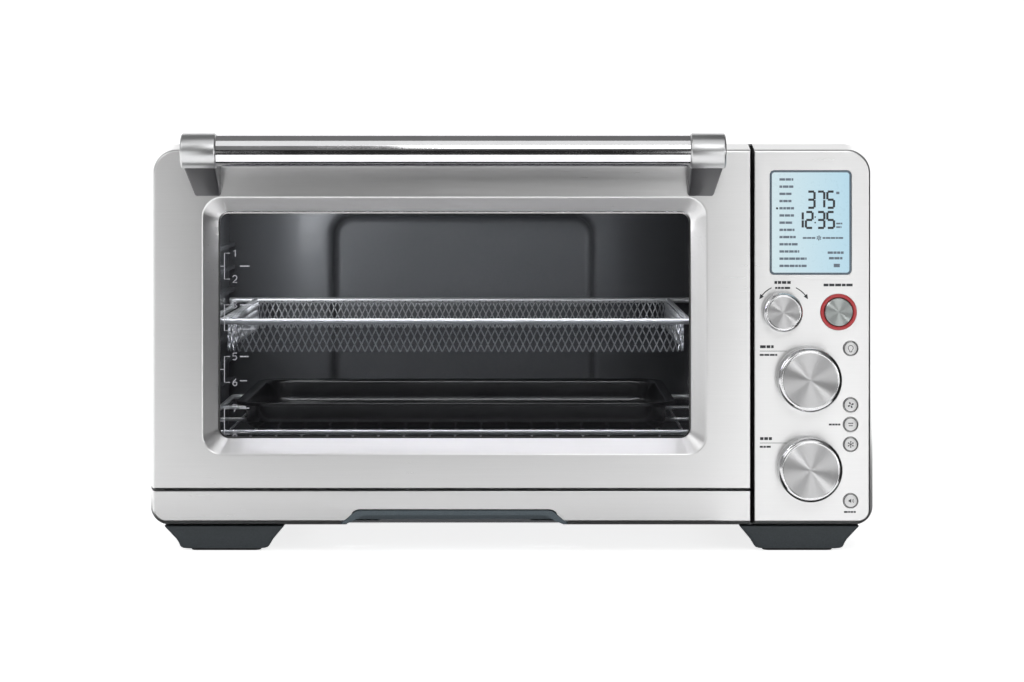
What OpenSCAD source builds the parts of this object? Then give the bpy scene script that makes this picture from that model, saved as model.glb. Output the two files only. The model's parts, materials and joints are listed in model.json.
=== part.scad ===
// Countertop convection toaster oven with a drop-down glass door and a control panel at the right.
// Millimetres. +X is to the right seen from the front, the front faces -Y, and +Z is up.
// The origin is at the centre of the footprint, on the surface that the oven stands on.
// Depths named d are counted backwards from the flat front face.

/* [Body] */
// Width of the steel body
body_w = 550.7; // [540:0.1:556]
// Height of the steel body above the feet
body_h = 290.4; // [288:0.1:294]
// Depth of the steel body
body_d = 380; // [376:1:390]
// Height of the feet
foot_h = 20; // [20:0.5:24]
// Thickness of the casing sheets
sheet_t = 1; // [0.8:0.1:1.2]
// Outer radius of the body's top corners
top_corner_r = 22; // [18:1:26]
// Outer radius of the body's bottom corners
bottom_corner_r = 14; // [12:1:16]
// Depth of the bevelled front pieces
front_d = 22; // [20:0.5:22]
// How far the rear spacers stand out
spacer_d = 12; // [8:1:20]

/* [Door] */
// Width of the door
door_w = 455.6; // [454:0.1:457]
// Gap between the door and the control fascia
door_gap = 3; // [2.5:0.1:3.5]
// Height of the trim strip below the door
trim_h = 28.2; // [27:0.1:29]
// Gap between the trim strip and the door
trim_gap = 2; // [1.5:0.1:2.5]
// Width of the glass opening
window_w = 358.3; // [350:0.1:362]
// Height of the glass opening
window_h = 171.8; // [165:0.1:174]
// Height of the window's centre above the table
window_z = 173; // [171:0.1:175]
// Width of the sloped wall round the window
recess_slope = 11; // [8:0.5:12]
// Depth of the window recess
recess_d = 10.5; // [8:0.5:11]
// Thickness of the window glass
glass_t = 4; // [3:0.5:4]

/* [Handle] */
// Distance from the door to the front of the handle
handle_reach = 43; // [40:0.5:43]
// Diameter of the handle bar
handle_bar_d = 24.6; // [20:0.1:25]
// Length of bar between the end caps
handle_len = 352; // [346:1:358]
// Width of an end cap
handle_cap_w = 26.6; // [24:0.1:28]
// Height of the bar's centre above the table
handle_z = 305.2; // [303:0.1:307]

/* [Cavity] */
// Inner width of the cavity
cavity_w = 411; // [410:0.5:412]
// Depth of the cavity's back wall
cavity_d = 350; // [348:1:352]
// Height of the cavity ceiling above the table
cavity_top_z = 292; // [291:0.5:293]
// Spacing of the rack heights
rack_pitch = 19.6; // [19:0.1:20]
// Height of the lowest rack guide above the table
first_guide_z = 87; // [86:0.1:88]
// Diameter of a heating tube
heater_tube_d = 11; // [9:0.5:12]

/* [Controls] */
// Radius of the temperature and time knobs
knob_r = 24.1; // [22:0.1:25]
// How far the temperature and time knobs stand out
knob_h = 17; // [14:0.5:20]
// Radius of the select knob
select_r = 14.8; // [13:0.1:15.5]
// Radius of the start button's cap
start_r = 10.4; // [9:0.1:11]
// Radius of the ring round the start button
start_ring_r = 13.7; // [13:0.1:14.5]
// Radius of a small button
button_r = 5.5; // [5:0.1:6]

/* [Hidden] */
$fn = 48;
e = 0.01;

// The body's box
face_y = handle_reach - (handle_reach + body_d + spacer_d) / 2;
left_x = -body_w / 2;
right_x = body_w / 2;
base_z = foot_h;
top_z = base_z + body_h;
door_right_x = left_x + door_w;
fascia_x = door_right_x + door_gap;
trim_top_z = base_z + trim_h;
door_low_z = trim_top_z + trim_gap;
skin_t = 1.2;
// The wrap starts a little behind the door, whose rear edge swings back as it opens
wrap_d = front_d + 2.2;
// Depth and inset of the sections of a bevelled front edge
edge_profile = [[0, 6.3], [0.7, 5.1], [2.2, 4.2], [front_d, 0]];

// The oven part's centre line, which the window, handle, cavity and tray handle share
oven_x = -43.4;
cavity_l = oven_x - cavity_w / 2;
cavity_r = oven_x + cavity_w / 2;
frame_d = 24.6;
frame_t = 1.2;
wall_d = frame_d + frame_t;
mouth_low_z = 70;
floor_z = base_z + 1.2;
back_recess_off = 114.4;
back_recess_low = 54;
back_recess_high = 247.3;
back_recess_d = 18;

// The door's hinge: its axis runs along X
hinge_d = 5.5;
hinge_z = door_low_z + 8.3;
hinge_pin_r = 2;
knuckle_r = 3.9;
bracket_t = 3;
bracket_off = 213.1;
arm_off = 209.6;
check_off = 217.35;
check_r = 61;
check_t = 2.5;

// Window
window_l = oven_x - window_w / 2;
window_r = oven_x + window_w / 2;
window_low = window_z - window_h / 2;
window_high = window_z + window_h / 2;
window_corner = 8;
glass_lap = 7;

// Handle
bar_d = -(handle_reach - 1 - handle_bar_d / 2);

// Crumb tray
tray_l = -168;
tray_r = 163;
tray_z = 18;
tray_t = 0.8;
tray_front_d = 47;
tray_back_d = 350;
tray_rim_z = 19.6;
pull_w = 171.4;
pull_top_w = 148;
pull_h = 9.9;
pull_low_z = base_z + 3.7;

// Racks
wire_r = 2;
grid_r = 1;
weld = 0.8;
guide_h = 3;
guide_reach = 6;
rack_off = cavity_w / 2 - 4.5;
rack_front_d = 32;
rack_back_d = 338;
rack_z = first_guide_z + 0.3 + wire_r;
basket_wire_r = 2.25;
basket_rail_z = first_guide_z + 4 * rack_pitch + 0.3 + basket_wire_r;
basket_rim_z = 174.1;
basket_low_z = 149.2;
basket_off = 177.8;
basket_front_d = 37;
basket_back_d = 329;
pan_off = 171;
pan_front_d = 40;
pan_back_d = 273;
pan_low_z = rack_z + wire_r + 0.3;
pan_rim_z = 111;

// Heating
heater_r = heater_tube_d / 2;
cap_r = 8;
top_heater_z = 278;
bottom_heater_z = 48;
top_heater_ds = [72, 145, 225, 300];
bottom_heater_ds = [110, 255];

// Fan
fan_d = 205;
fan_z = 158;
fan_r = 52;
shaft_r = 3;
wall_x = 180.2;

// Lamp and probe
lamp_d = 92;
lamp_z = 249;
lamp_r = 18;
probe_d = 332;
probe_z = 284;

// Control panel
display_l = 194.8;
display_r = 256.7;
display_low = 211.4;
display_high = 290.5;
select_at = [204.1, 183.6];
start_at = [246.8, 183.4];
temperature_at = [223.8, 133];
time_at = [224.2, 65.4];
button_x = 255.9;
button_zs = [155.9, 113.2, 98.5, 83.5, 40.9];
board_d = 17.5;
knob_gap = 0.8;
press_gap = 1.6;
// Height of the select knob, and the depth of the bore that takes its shaft
select_h = 12;
select_bore = 8;
stem_r = 2;

// ---- Outlines and placing ----

// Rectangle given by its limits
module block2(a0, a1, b0, b1) {
  translate([a0, b0]) square([a1 - a0, b1 - b0]);
}

// Rectangle with one radius for the bottom corners and one for the top corners on each side:
// r = [bottom left, bottom right, top right, top left], where a pair's other corner is equal or 0
module outline(x0, x1, z0, z1, r) {
  low = max(r[0], r[1]);
  high = max(r[2], r[3]);
  block2(x0, x1, z0 + low, z1 - high);
  if (low > 0) block2(x0 + r[0], x1 - r[1], z0, z0 + low + 1);
  if (high > 0) block2(x0 + r[3], x1 - r[2], z1 - high - 1, z1);
  intersection() {
    block2(x0, x1, z0, z1);
    union() {
      if (r[0] > 0) translate([x0 + r[0], z0 + r[0]]) circle(r[0]);
      if (r[1] > 0) translate([x1 - r[1], z0 + r[1]]) circle(r[1]);
      if (r[2] > 0) translate([x1 - r[2], z1 - r[2]]) circle(r[2]);
      if (r[3] > 0) translate([x0 + r[3], z1 - r[3]]) circle(r[3]);
    }
  }
}

module round_block2(a0, a1, b0, b1, r) {
  outline(a0, a1, b0, b1, [r, r, r, r]);
}

// An outline drawn in X and Z, standing up with its front at depth d
module upright(d, t) {
  translate([0, face_y + d + t, 0]) rotate([90, 0, 0]) linear_extrude(t) children();
}

// An outline drawn in X and Y, thickened upwards from z
module flat_plate(z, t) {
  translate([0, 0, z]) linear_extrude(t) children();
}

// Box given by its limits, with depths from the front face
module box(x0, x1, d0, d1, z0, z1) {
  translate([x0, face_y + d0, z0]) cube([x1 - x0, d1 - d0, z1 - z0]);
}

module rod_x(x0, x1, r, d, z) {
  translate([x0, face_y + d, z]) rotate([0, 90, 0]) cylinder(r = r, h = x1 - x0);
}

module rod_y(d0, d1, r, x, z) {
  translate([x, face_y + d1, z]) rotate([90, 0, 0]) cylinder(r = r, h = d1 - d0);
}

module rod_z(z0, z1, r, x, d) {
  translate([x, face_y + d, z0]) cylinder(r = r, h = z1 - z0);
}

// Solid behind a bevelled front face. sides = [left, right, bottom, top] says which edges are bevelled,
// shrink makes the hollow inside it
module bevelled_solid(x0, x1, z0, z1, r, sides, shrink) {
  hull() {
    for (p = edge_profile) {
      cut = [for (s = sides) s * p[1] + shrink];
      trim = p[1] + shrink;
      upright(p[0] + shrink, shrink > 0 && p[0] == front_d ? 2 : e)
        outline(x0 + cut[0], x1 - cut[1], z0 + cut[2], z1 - cut[3], [for (c = r) c > 0 ? c - trim : 0],
                $fn = 32);
    }
  }
}

module bevelled_shell(x0, x1, z0, z1, r, sides) {
  difference() {
    bevelled_solid(x0, x1, z0, z1, r, sides, 0);
    bevelled_solid(x0, x1, z0, z1, r, sides, skin_t);
  }
}

// The solid inside the sloped wall round the window, grown sideways by grow and started early by lead
module recess_solid(grow, lead) {
  run = recess_slope / recess_d * lead + recess_slope + grow;
  hull() {
    upright(-lead, e)
      round_block2(window_l - run, window_r + run, window_low - run, window_high + run, window_corner + 6,
                   $fn = 32);
    upright(recess_d - e, e)
      round_block2(window_l - grow, window_r + grow, window_low - grow, window_high + grow, window_corner,
                   $fn = 32);
  }
}

// ---- Casing ----

module outer_wrap() color("silver") {
  vent_ds = [for (i = [0:13]) 150 + i * 13];
  difference() {
    upright(wrap_d, body_d - wrap_d) difference() {
      outline(left_x, right_x, base_z, top_z,
              [bottom_corner_r, bottom_corner_r, top_corner_r, top_corner_r]);
      outline(left_x + sheet_t, right_x - sheet_t, base_z + sheet_t, top_z - sheet_t,
              [bottom_corner_r - sheet_t, bottom_corner_r - sheet_t, top_corner_r - sheet_t,
               top_corner_r - sheet_t]);
      block2(left_x + 23, right_x - 23, base_z - 1, base_z + 2 * sheet_t);
    }
    // Cooling slots in both sides
    for (d = vent_ds) {
      box(left_x - 1, left_x + 2, d, d + 3.2, 62, 112);
      box(right_x - 2, right_x + 1, d, d + 3.2, 62, 112);
      box(right_x - 2, right_x + 1, d, d + 3.2, 205, 255);
    }
  }
}

module base_plate() color("gray") {
  rail_z = 16.9;
  difference() {
    box(left_x + 23.2, right_x - 23.2, front_d + 1, body_d - 1.4, base_z, floor_z);
    box(oven_x - pull_w / 2 - 3, oven_x + pull_w / 2 + 3, front_d, 76, base_z - 1, floor_z + 1);
    box(tray_l + 10, tray_r - 10, 84, tray_back_d - 12, base_z - 1, floor_z + 1);
    // Air inlet slots under the control compartment
    for (i = [0:7]) box(196, 240, 130 + i * 12, 133.2 + i * 12, base_z - 1, floor_z + 1);
  }
  // Rails that carry the crumb tray
  for (s = [-1, 1]) {
    web_x = s < 0 ? tray_l - 2 : tray_r + 0.8;
    lip_x = s < 0 ? tray_l - 2 : tray_r - 6;
    box(web_x, web_x + 1.2, tray_front_d + 1, tray_back_d, rail_z, base_z);
    box(lip_x, lip_x + 8, tray_front_d + 1, tray_back_d, rail_z, rail_z + 0.8);
  }
}

module back_panel() color("gray") {
  edge = sheet_t + 0.1;
  difference() {
    upright(body_d - 1.2, 1.2)
      outline(left_x + edge, right_x - edge, base_z + edge, top_z - edge,
              [bottom_corner_r - edge, bottom_corner_r - edge, top_corner_r - edge, top_corner_r - edge]);
    for (i = [0:9]) {
      box(192, 248, body_d - 3, body_d + 1, 190 + i * 9, 193.2 + i * 9);
      box(-150, -60, body_d - 3, body_d + 1, 190 + i * 9, 193.2 + i * 9);
      box(-30, 60, body_d - 3, body_d + 1, 190 + i * 9, 193.2 + i * 9);
    }
    rod_y(body_d - 3, body_d + 1, 8.1, 220, 60);
  }
}

module rear_spacers() color("dimgray") {
  for (x = [-190, 150]) {
    rod_y(body_d, body_d + 4, 17, x, 262);
    rod_y(body_d + 4, body_d + spacer_d, 12, x, 262);
  }
}

module case_screws() color("dimgray") {
  for (x = [-255, -90, 90, 255]) rod_y(body_d, body_d + 2, 4, x, 296);
  for (x = [-250, -90, 90, 250]) rod_y(body_d, body_d + 2, 4, x, 36);
}

module cord_gland() color("black") {
  difference() {
    union() {
      rod_y(body_d, body_d + 8, 12, 220, 60);
      rod_y(body_d - 6, body_d, 8, 220, 60);
    }
    rod_y(body_d - 7, body_d + 9, 4, 220, 60);
  }
}

module feet() color([0.25, 0.28, 0.30]) {
  for (s = [-1, 1], d0 = [12, 288]) {
    hull() {
      flat_plate(base_z - 0.6, 0.6) foot_outline(s, 173, 264.6, d0, d0 + 80, 3);
      flat_plate(6, e) foot_outline(s, 184.2, 253.6, d0 + 8, d0 + 72, 3);
      flat_plate(1.5, e) foot_outline(s, 190, 249.6, d0 + 11, d0 + 69, 3);
    }
  }
}

module foot_outline(s, a, b, d0, d1, r) {
  x0 = s < 0 ? -b : a;
  round_block2(x0, x0 + b - a, face_y + d0, face_y + d1, r, $fn = 24);
}

module foot_pads() color("black") {
  for (s = [-1, 1], d0 = [12, 288]) flat_plate(0, 1.5) foot_outline(s, 192, 245, d0 + 13, d0 + 67, 5);
}

// ---- Front frame and walls ----

// The band of slots that a check arc passes through
module check_slot(s) {
  x = oven_x + s * check_off;
  box(x - check_t / 2 - 0.6, x + check_t / 2 + 0.6, frame_d - 1, wall_d + 1, hinge_z + 53.3, hinge_z + 62.4);
}

module front_frame() color("gray") {
  edge = sheet_t + 0.1;
  difference() {
    upright(frame_d, frame_t)
      outline(left_x + edge, wall_x - 0.1, base_z + 1.3, top_z - edge,
              [bottom_corner_r - edge, 0, 0, top_corner_r - edge]);
    box(cavity_l, cavity_r, frame_d - 1, wall_d + 1, mouth_low_z, cavity_top_z);
    box(oven_x - pull_w / 2 - 3, oven_x + pull_w / 2 + 3,
        frame_d - 1, wall_d + 1, base_z, pull_low_z + pull_h + 2);
    for (s = [-1, 1]) check_slot(s);
  }
}

// Wall between the oven and the controls, with a flange that closes the slit beside the door
module compartment_wall() color("gray") {
  flange_w = 7;
  difference() {
    union() {
      box(wall_x, wall_x + 1, frame_d, body_d - 1.4, floor_z + 0.1, top_z - sheet_t - 0.1);
      box(wall_x, wall_x + flange_w, frame_d, frame_d + 1, floor_z + 0.1, top_z - sheet_t - 0.1);
    }
    rod_x(wall_x - 1, wall_x + 2, 6, fan_d, fan_z);
    box(wall_x - 1, wall_x + 2, 300, 330, 240, 250);
  }
}

module lower_trim() color("silver") {
  difference() {
    bevelled_shell(left_x, door_right_x, base_z, trim_top_z, [bottom_corner_r, 0, 0, 0], [1, 0, 1, 0]);
    upright(-1, front_d + 4) polygon([
      [oven_x - pull_w / 2 - 1.2, base_z - 1], [oven_x + pull_w / 2 + 1.2, base_z - 1],
      [oven_x + pull_w / 2 + 1.2, pull_low_z],
      [oven_x + pull_top_w / 2 + 1.2, pull_low_z + pull_h + 0.9],
      [oven_x - pull_top_w / 2 - 1.2, pull_low_z + pull_h + 0.9],
      [oven_x - pull_w / 2 - 1.2, pull_low_z]
    ]);
  }
}

module cavity_left_wall() color("gray") {
  difference() {
    box(cavity_l - 1, cavity_l, wall_d + 0.1, cavity_d, floor_z + 0.1, cavity_top_z);
    heater_holes(cavity_l - 2);
    rod_x(cavity_l - 2, cavity_l + 1, 3.05, probe_d, probe_z);
  }
}

module cavity_right_wall() color("gray") {
  hole_pitch = 9;
  difference() {
    box(cavity_r, cavity_r + 1, wall_d + 0.1, cavity_d, floor_z + 0.1, cavity_top_z);
    heater_holes(cavity_r - 1);
    rod_x(cavity_r - 1, cavity_r + 2, lamp_r, lamp_d, lamp_z);
    // Fan grille: rows of holes between the rack guides
    for (k = [1:6], i = [-5:5]) {
      row_z = first_guide_z + (k + 0.42) * rack_pitch;
      if (norm([i * hole_pitch, row_z - fan_z]) < fan_r)
        rod_x(cavity_r - 1, cavity_r + 2, 2.6, fan_d + i * hole_pitch, row_z);
    }
  }
}

module heater_holes(x) {
  for (d = top_heater_ds) rod_x(x, x + 3, cap_r + 0.1, d, top_heater_z);
  for (d = bottom_heater_ds) rod_x(x, x + 3, cap_r + 0.1, d, bottom_heater_z);
}

module cavity_top() color("gray") {
  box(cavity_l - 1, cavity_r + 1, wall_d + 0.1, cavity_d, cavity_top_z, cavity_top_z + 1);
}

module cavity_back() color("gray") {
  difference() {
    union() {
      box(cavity_l - 1, cavity_r + 1, cavity_d, cavity_d + 1, floor_z + 0.1, cavity_top_z + 1);
      upright(cavity_d, back_recess_d + 1)
        round_block2(oven_x - back_recess_off - 1, oven_x + back_recess_off + 1, back_recess_low - 1,
                     back_recess_high + 1, 19);
    }
    upright(cavity_d - 1, back_recess_d + 1)
      round_block2(oven_x - back_recess_off, oven_x + back_recess_off, back_recess_low, back_recess_high, 18);
  }
}

// Eight pressed ribs on one side wall
module rack_guides(x) {
  for (k = [0:7]) {
    z = first_guide_z + k * rack_pitch - guide_h;
    box(x, x + guide_reach, 34, 342, z, z + guide_h);
  }
}

module left_rack_guides() color("gray") rack_guides(cavity_l);

module right_rack_guides() color("gray") rack_guides(cavity_r - guide_reach);

module top_heaters() color("lightgray") {
  for (d = top_heater_ds) rod_x(cavity_l + 4, cavity_r - 4, heater_r, d, top_heater_z);
}

module bottom_heaters() color("lightgray") {
  for (d = bottom_heater_ds) rod_x(cavity_l + 4, cavity_r - 4, heater_r, d, bottom_heater_z);
}

// Ceramic caps that hold the tubes' ends in the side walls
module heater_pair(d, z) {
  rod_x(cavity_l - 5, cavity_l + 4, cap_r, d, z);
  rod_x(cavity_r - 4, cavity_r + 5, cap_r, d, z);
}

module heater_caps() color("ivory") {
  for (d = top_heater_ds) heater_pair(d, top_heater_z);
  for (d = bottom_heater_ds) heater_pair(d, bottom_heater_z);
}

module insulation() color("khaki") {
  box(cavity_l + 10, cavity_r - 10, 40, cavity_d - 8, cavity_top_z + 1.2, cavity_top_z + 12);
  box(left_x + 4, cavity_l - 7, 82, cavity_d - 8, 124, cavity_top_z - 30);
}

// ---- Fan, lamp and probe ----

module fan_shroud() color("gray") {
  difference() {
    rod_x(cavity_r + 1, wall_x, fan_r + 12, fan_d, fan_z);
    rod_x(cavity_r, wall_x - 1, fan_r + 11, fan_d, fan_z);
    rod_x(cavity_r, wall_x + 1, 6, fan_d, fan_z);
  }
}

module fan_motor() color("dimgray") {
  difference() {
    union() {
      rod_x(wall_x + 1, wall_x + 36, 27, fan_d, fan_z);
      rod_x(wall_x + 36, wall_x + 41, 9, fan_d, fan_z);
    }
    rod_x(wall_x, wall_x + 42, shaft_r + 0.05, fan_d, fan_z);
  }
}

module fan_shaft() color("silver") {
  rod_x(cavity_r + 4.5, wall_x + 60, shaft_r, fan_d, fan_z);
  // Cooling fan on the shaft's far end
  difference() {
    union() {
      rod_x(wall_x + 46, wall_x + 57, 8, fan_d, fan_z);
      for (i = [0:6]) translate([wall_x + 47, face_y + fan_d, fan_z]) rotate([i * 360 / 7, 0, 0])
        translate([0, 7, -1]) cube([9, 26, 2]);
    }
    rod_x(wall_x + 45, wall_x + 58, shaft_r, fan_d, fan_z);
  }
}

module convection_fan() color("silver") {
  blades = 12;
  difference() {
    union() {
      rod_x(cavity_r + 13, cavity_r + 14, fan_r - 2, fan_d, fan_z);
      rod_x(cavity_r + 5, cavity_r + 14, 7, fan_d, fan_z);
      for (i = [0:blades - 1]) translate([cavity_r + 4.5, face_y + fan_d, fan_z])
        rotate([i * 360 / blades, 0, 0]) translate([0, 26, -0.6]) cube([9, fan_r - 29, 1.2]);
    }
    rod_x(cavity_r + 4, cavity_r + 15, shaft_r, fan_d, fan_z);
  }
}

module lamp_holder() color("lightgray") {
  difference() {
    rod_x(cavity_r + 1, wall_x, lamp_r + 2, lamp_d, lamp_z);
    rod_x(cavity_r, wall_x - 2, lamp_r + 1, lamp_d, lamp_z);
  }
}

module lamp_bulb() color("ivory") {
  rod_x(wall_x - 12, wall_x - 2, 5, lamp_d, lamp_z);
}

module lamp_lens() color("lightcyan") {
  rod_x(cavity_r - 0.6, cavity_r + 1.6, lamp_r, lamp_d, lamp_z);
}

module temperature_probe() color("silver") {
  rod_x(cavity_l - 6, cavity_l + 34, 2, probe_d, probe_z);
  rod_x(cavity_l - 1, cavity_l + 1, 3, probe_d, probe_z);
}

// ---- Control panel ----

module control_fascia() color("silver") {
  difference() {
    bevelled_shell(fascia_x, right_x, base_z, top_z, [0, bottom_corner_r, top_corner_r, 0], [0, 1, 1, 1]);
    upright(-1, 4) round_block2(display_l, display_r, display_low, display_high, 3.8);
    for (p = [select_at, temperature_at, time_at]) rod_y(-1, 4, shaft_r + 0.6, p[0], p[1]);
    rod_y(-1, 4, start_ring_r, start_at[0], start_at[1]);
    for (z = button_zs) rod_y(-1, 4, button_r + 0.4, button_x, z);
  }
}

module display() color("lightblue") {
  upright(0.2, 3) round_block2(display_l + 0.1, display_r - 0.1, display_low + 0.1, display_high - 0.1, 3.7);
  upright(3.2, 6) round_block2(display_l - 3, display_r + 3, display_low - 3, display_high + 3, 3.8);
}

module start_ring() color("crimson") {
  difference() {
    rod_y(-0.9, 5, start_ring_r, start_at[0], start_at[1]);
    rod_y(-2, 6, start_r + 0.5, start_at[0], start_at[1]);
  }
}

module circuit_boards() color("darkgreen") {
  box(188, 266, board_d, board_d + 1.6, 31, 298);
  box(192, 262, 60, 150, 40, 41.6);
  box(200, 222, 70, 95, 41.6, 62);
  rod_z(41.6, 66, 9, 245, 82);
  for (d = [105, 125]) box(204, 250, d, d + 12, 41.6, 54);
}

// Encoder bodies with their bushings, and the small switches behind the buttons
module encoders_and_switches() color("dimgray") {
  difference() {
    for (p = [select_at, temperature_at, time_at]) {
      box(p[0] - 7, p[0] + 7, board_d - 7, board_d, p[1] - 7, p[1] + 7);
      rod_y(board_d - 13, board_d - 7, 4.5, p[0], p[1]);
    }
    for (p = [temperature_at, time_at]) rod_y(board_d - 14, board_d - 2, shaft_r + 0.05, p[0], p[1]);
    rod_y(board_d - 14, board_d - 1, shaft_r + 0.05, select_at[0], select_at[1]);
  }
  for (z = button_zs) box(button_x - 3, button_x + 3, board_d - 4, board_d, z - 3, z + 3);
  box(start_at[0] - 4, start_at[0] + 4, board_d - 4, board_d, start_at[1] - 4, start_at[1] + 4);
}

// The select knob's shaft: it is pushed back with the knob, which turns on its front end
module select_plunger() color("white") {
  rod_y(-press_gap - select_bore, board_d - 2.4, shaft_r - 0.05, select_at[0], select_at[1]);
}

// Knob turned from one piece, with a spun face and a bevelled rim
module knob_head(p, r, h, gap) {
  rim = 1.6;
  translate([p[0], face_y - gap, p[1]]) rotate([90, 0, 0]) rotate_extrude()
    polygon([[0, 0], [r - 0.8, 0], [r, 0.8], [r, h - rim], [r - rim, h], [0, h]]);
}

// Knob head with its shaft
module knob(p, r, h, gap, shaft_end) {
  knob_head(p, r, h, gap);
  rod_y(-gap - 1, shaft_end, shaft_r, p[0], p[1]);
}

module select_knob() color("silver") {
  difference() {
    knob_head(select_at, select_r, select_h, press_gap);
    rod_y(-press_gap - select_bore, 0, shaft_r, select_at[0], select_at[1]);
  }
}

module temperature_knob() color("silver")
  knob(temperature_at, knob_r, knob_h - knob_gap, knob_gap, board_d - 3);

module time_knob() color("silver") knob(time_at, knob_r, knob_h - knob_gap, knob_gap, board_d - 3);

module start_button() color("silver") {
  rod_y(-3.4, 3, start_r, start_at[0], start_at[1]);
  rod_y(3, board_d - 5.6, stem_r, start_at[0], start_at[1]);
}

module small_button(z) {
  rod_y(-0.9, 3, button_r, button_x, z);
  rod_y(3, board_d - 5.2, stem_r, button_x, z);
}

module light_button() color("gainsboro") small_button(button_zs[0]);

module convection_button() color("gainsboro") small_button(button_zs[1]);

module phase_button() color("gainsboro") small_button(button_zs[2]);

module frozen_button() color("gainsboro") small_button(button_zs[3]);

module sound_button() color("gainsboro") small_button(button_zs[4]);

// ---- Hinges ----

module hinge_brackets() color("dimgray") {
  for (s = [-1, 1]) {
    x = oven_x + s * bracket_off - bracket_t / 2;
    difference() {
      union() {
        rod_x(x, x + bracket_t, knuckle_r, hinge_d, hinge_z);
        box(x, x + bracket_t, hinge_d, frame_d, hinge_z - knuckle_r, hinge_z + knuckle_r);
      }
      rod_x(x - 1, x + bracket_t + 1, hinge_pin_r, hinge_d, hinge_z);
    }
  }
}

module hinge_pins() color("silver") {
  for (s = [-1, 1]) {
    x = oven_x + s * (bracket_off + arm_off) / 2;
    rod_x(x - 4.2, x + 4.2, hinge_pin_r, hinge_d, hinge_z);
  }
}

// Arc round the hinge axis that runs back through the front frame and stops the door when it is open
module check_arc(x) {
  start_a = acos((front_d + 0.1 - hinge_d) / (check_r - 3));
  translate([x, face_y + hinge_d, hinge_z]) rotate([90, 0, 90]) {
    rotate([0, 0, -22]) rotate_extrude(angle = 22 + start_a) translate([check_r - 3, -check_t / 2])
      square([6, check_t]);
    rotate([0, 0, -26]) rotate_extrude(angle = 4) translate([check_r - 6, -check_t / 2])
      square([12, check_t]);
  }
}

module hinge_arms() color("dimgray") {
  for (s = [-1, 1]) {
    x = oven_x + s * arm_off - bracket_t / 2;
    difference() {
      union() {
        rod_x(x, x + bracket_t, knuckle_r, hinge_d, hinge_z);
        box(x, x + bracket_t, 2, 17, hinge_z + 4, hinge_z + 50);
        box(x, x + bracket_t, 2, 10, hinge_z, hinge_z + 5);
      }
      rod_x(x - 1, x + bracket_t + 1, hinge_pin_r + 0.05, hinge_d, hinge_z);
    }
    check_arc(oven_x + s * check_off);
  }
}

// ---- Door ----

module door_skin() color("silver") {
  difference() {
    union() {
      bevelled_shell(left_x, door_right_x, door_low_z, top_z, [0, 0, 0, top_corner_r], [1, 0, 0, 1]);
      recess_solid(skin_t, 0);
    }
    recess_solid(0, 1);
    upright(recess_d - 1, 2)
      round_block2(window_l, window_r, window_low, window_high, window_corner, $fn = 32);
    for (s = [-1, 1]) {
      x = oven_x + s * (bracket_off + arm_off) / 2;
      box(x - 4.6, x + 4.6, skin_t, front_d + 1, door_low_z - 1, door_low_z + skin_t + 0.1);
    }
  }
}

module door_inner_frame() color("gray") {
  d0 = front_d - 1.5;
  lap = glass_lap;
  seat_d = recess_d + glass_t + 2.1;
  difference() {
    union() {
      upright(d0, 1.5) round_block2(left_x + 5, door_right_x - 4, hinge_z - 3, top_z - 7, 10);
      upright(seat_d, front_d - seat_d)
        round_block2(window_l - lap, window_r + lap, window_low - lap, window_high + lap, 10);
    }
    upright(seat_d - 1, front_d + 2)
      round_block2(window_l - 2, window_r + 2, window_low - 2, window_high + 2, 8);
    for (s = [-1, 1]) {
      x = oven_x + s * (bracket_off + arm_off) / 2;
      box(x - 4.6, x + 4.6, d0 - 1, front_d + 1, base_z, hinge_z + 8);
    }
  }
}

module window_glass() color([0.2, 0.2, 0.2, 0.4]) {
  lap = glass_lap;
  upright(recess_d + 0.05, glass_t)
    round_block2(window_l - lap, window_r + lap, window_low - lap, window_high + lap, 10);
}

module window_gasket() color("black") {
  lap = glass_lap;
  upright(recess_d + glass_t + 0.05, 2) difference() {
    round_block2(window_l - lap, window_r + lap, window_low - lap, window_high + lap, 10);
    round_block2(window_l - 2, window_r + 2, window_low - 2, window_high + 2, 8);
  }
}

module handle_bar() color("silver") {
  difference() {
    rod_x(oven_x - handle_len / 2, oven_x + handle_len / 2, handle_bar_d / 2, bar_d, handle_z);
    rod_x(oven_x - handle_len / 2 - 1, oven_x + handle_len / 2 + 1, handle_bar_d / 2 - 2, bar_d, handle_z);
  }
}

// End caps: a block at the bar and a leg that tapers down and inwards to the door
module handle_caps() color("silver") {
  leg_low_z = 270.4;
  for (s = [-1, 1]) {
    inner = handle_len / 2;
    mid = oven_x + s * (inner + handle_cap_w / 2);
    hull() {
      upright(bar_d - handle_bar_d / 2 - 1, 26)
        round_block2(mid - handle_cap_w / 2, mid + handle_cap_w / 2, handle_z - 13.5, handle_z + 13.5, 3,
                     $fn = 24);
      upright(-2, 2)
        round_block2(mid - s * 3.3 - 10, mid - s * 3.3 + 10, leg_low_z, leg_low_z + 31, 3, $fn = 24);
    }
  }
}

module door_magnets() color("dimgray") {
  for (s = [-1, 1]) rod_y(front_d, front_d + 4, 5, oven_x + s * 196, rack_z);
}

// ---- Crumb tray ----

module crumb_tray() color("gray") {
  pad_w = 60;
  box(tray_l, tray_r, tray_front_d, tray_back_d, tray_z, tray_z + tray_t);
  box(oven_x - pad_w, oven_x + pad_w, 34, tray_front_d + 1, tray_z, tray_z + tray_t);
  box(tray_l, tray_l + 1, tray_front_d, tray_back_d, tray_z, tray_rim_z);
  box(tray_r - 1, tray_r, tray_front_d, tray_back_d, tray_z, tray_rim_z);
  box(tray_l, tray_r, tray_back_d - 1, tray_back_d, tray_z, tray_rim_z);
  box(tray_l, tray_r, tray_front_d, tray_front_d + 1, tray_z, tray_rim_z);
}

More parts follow.
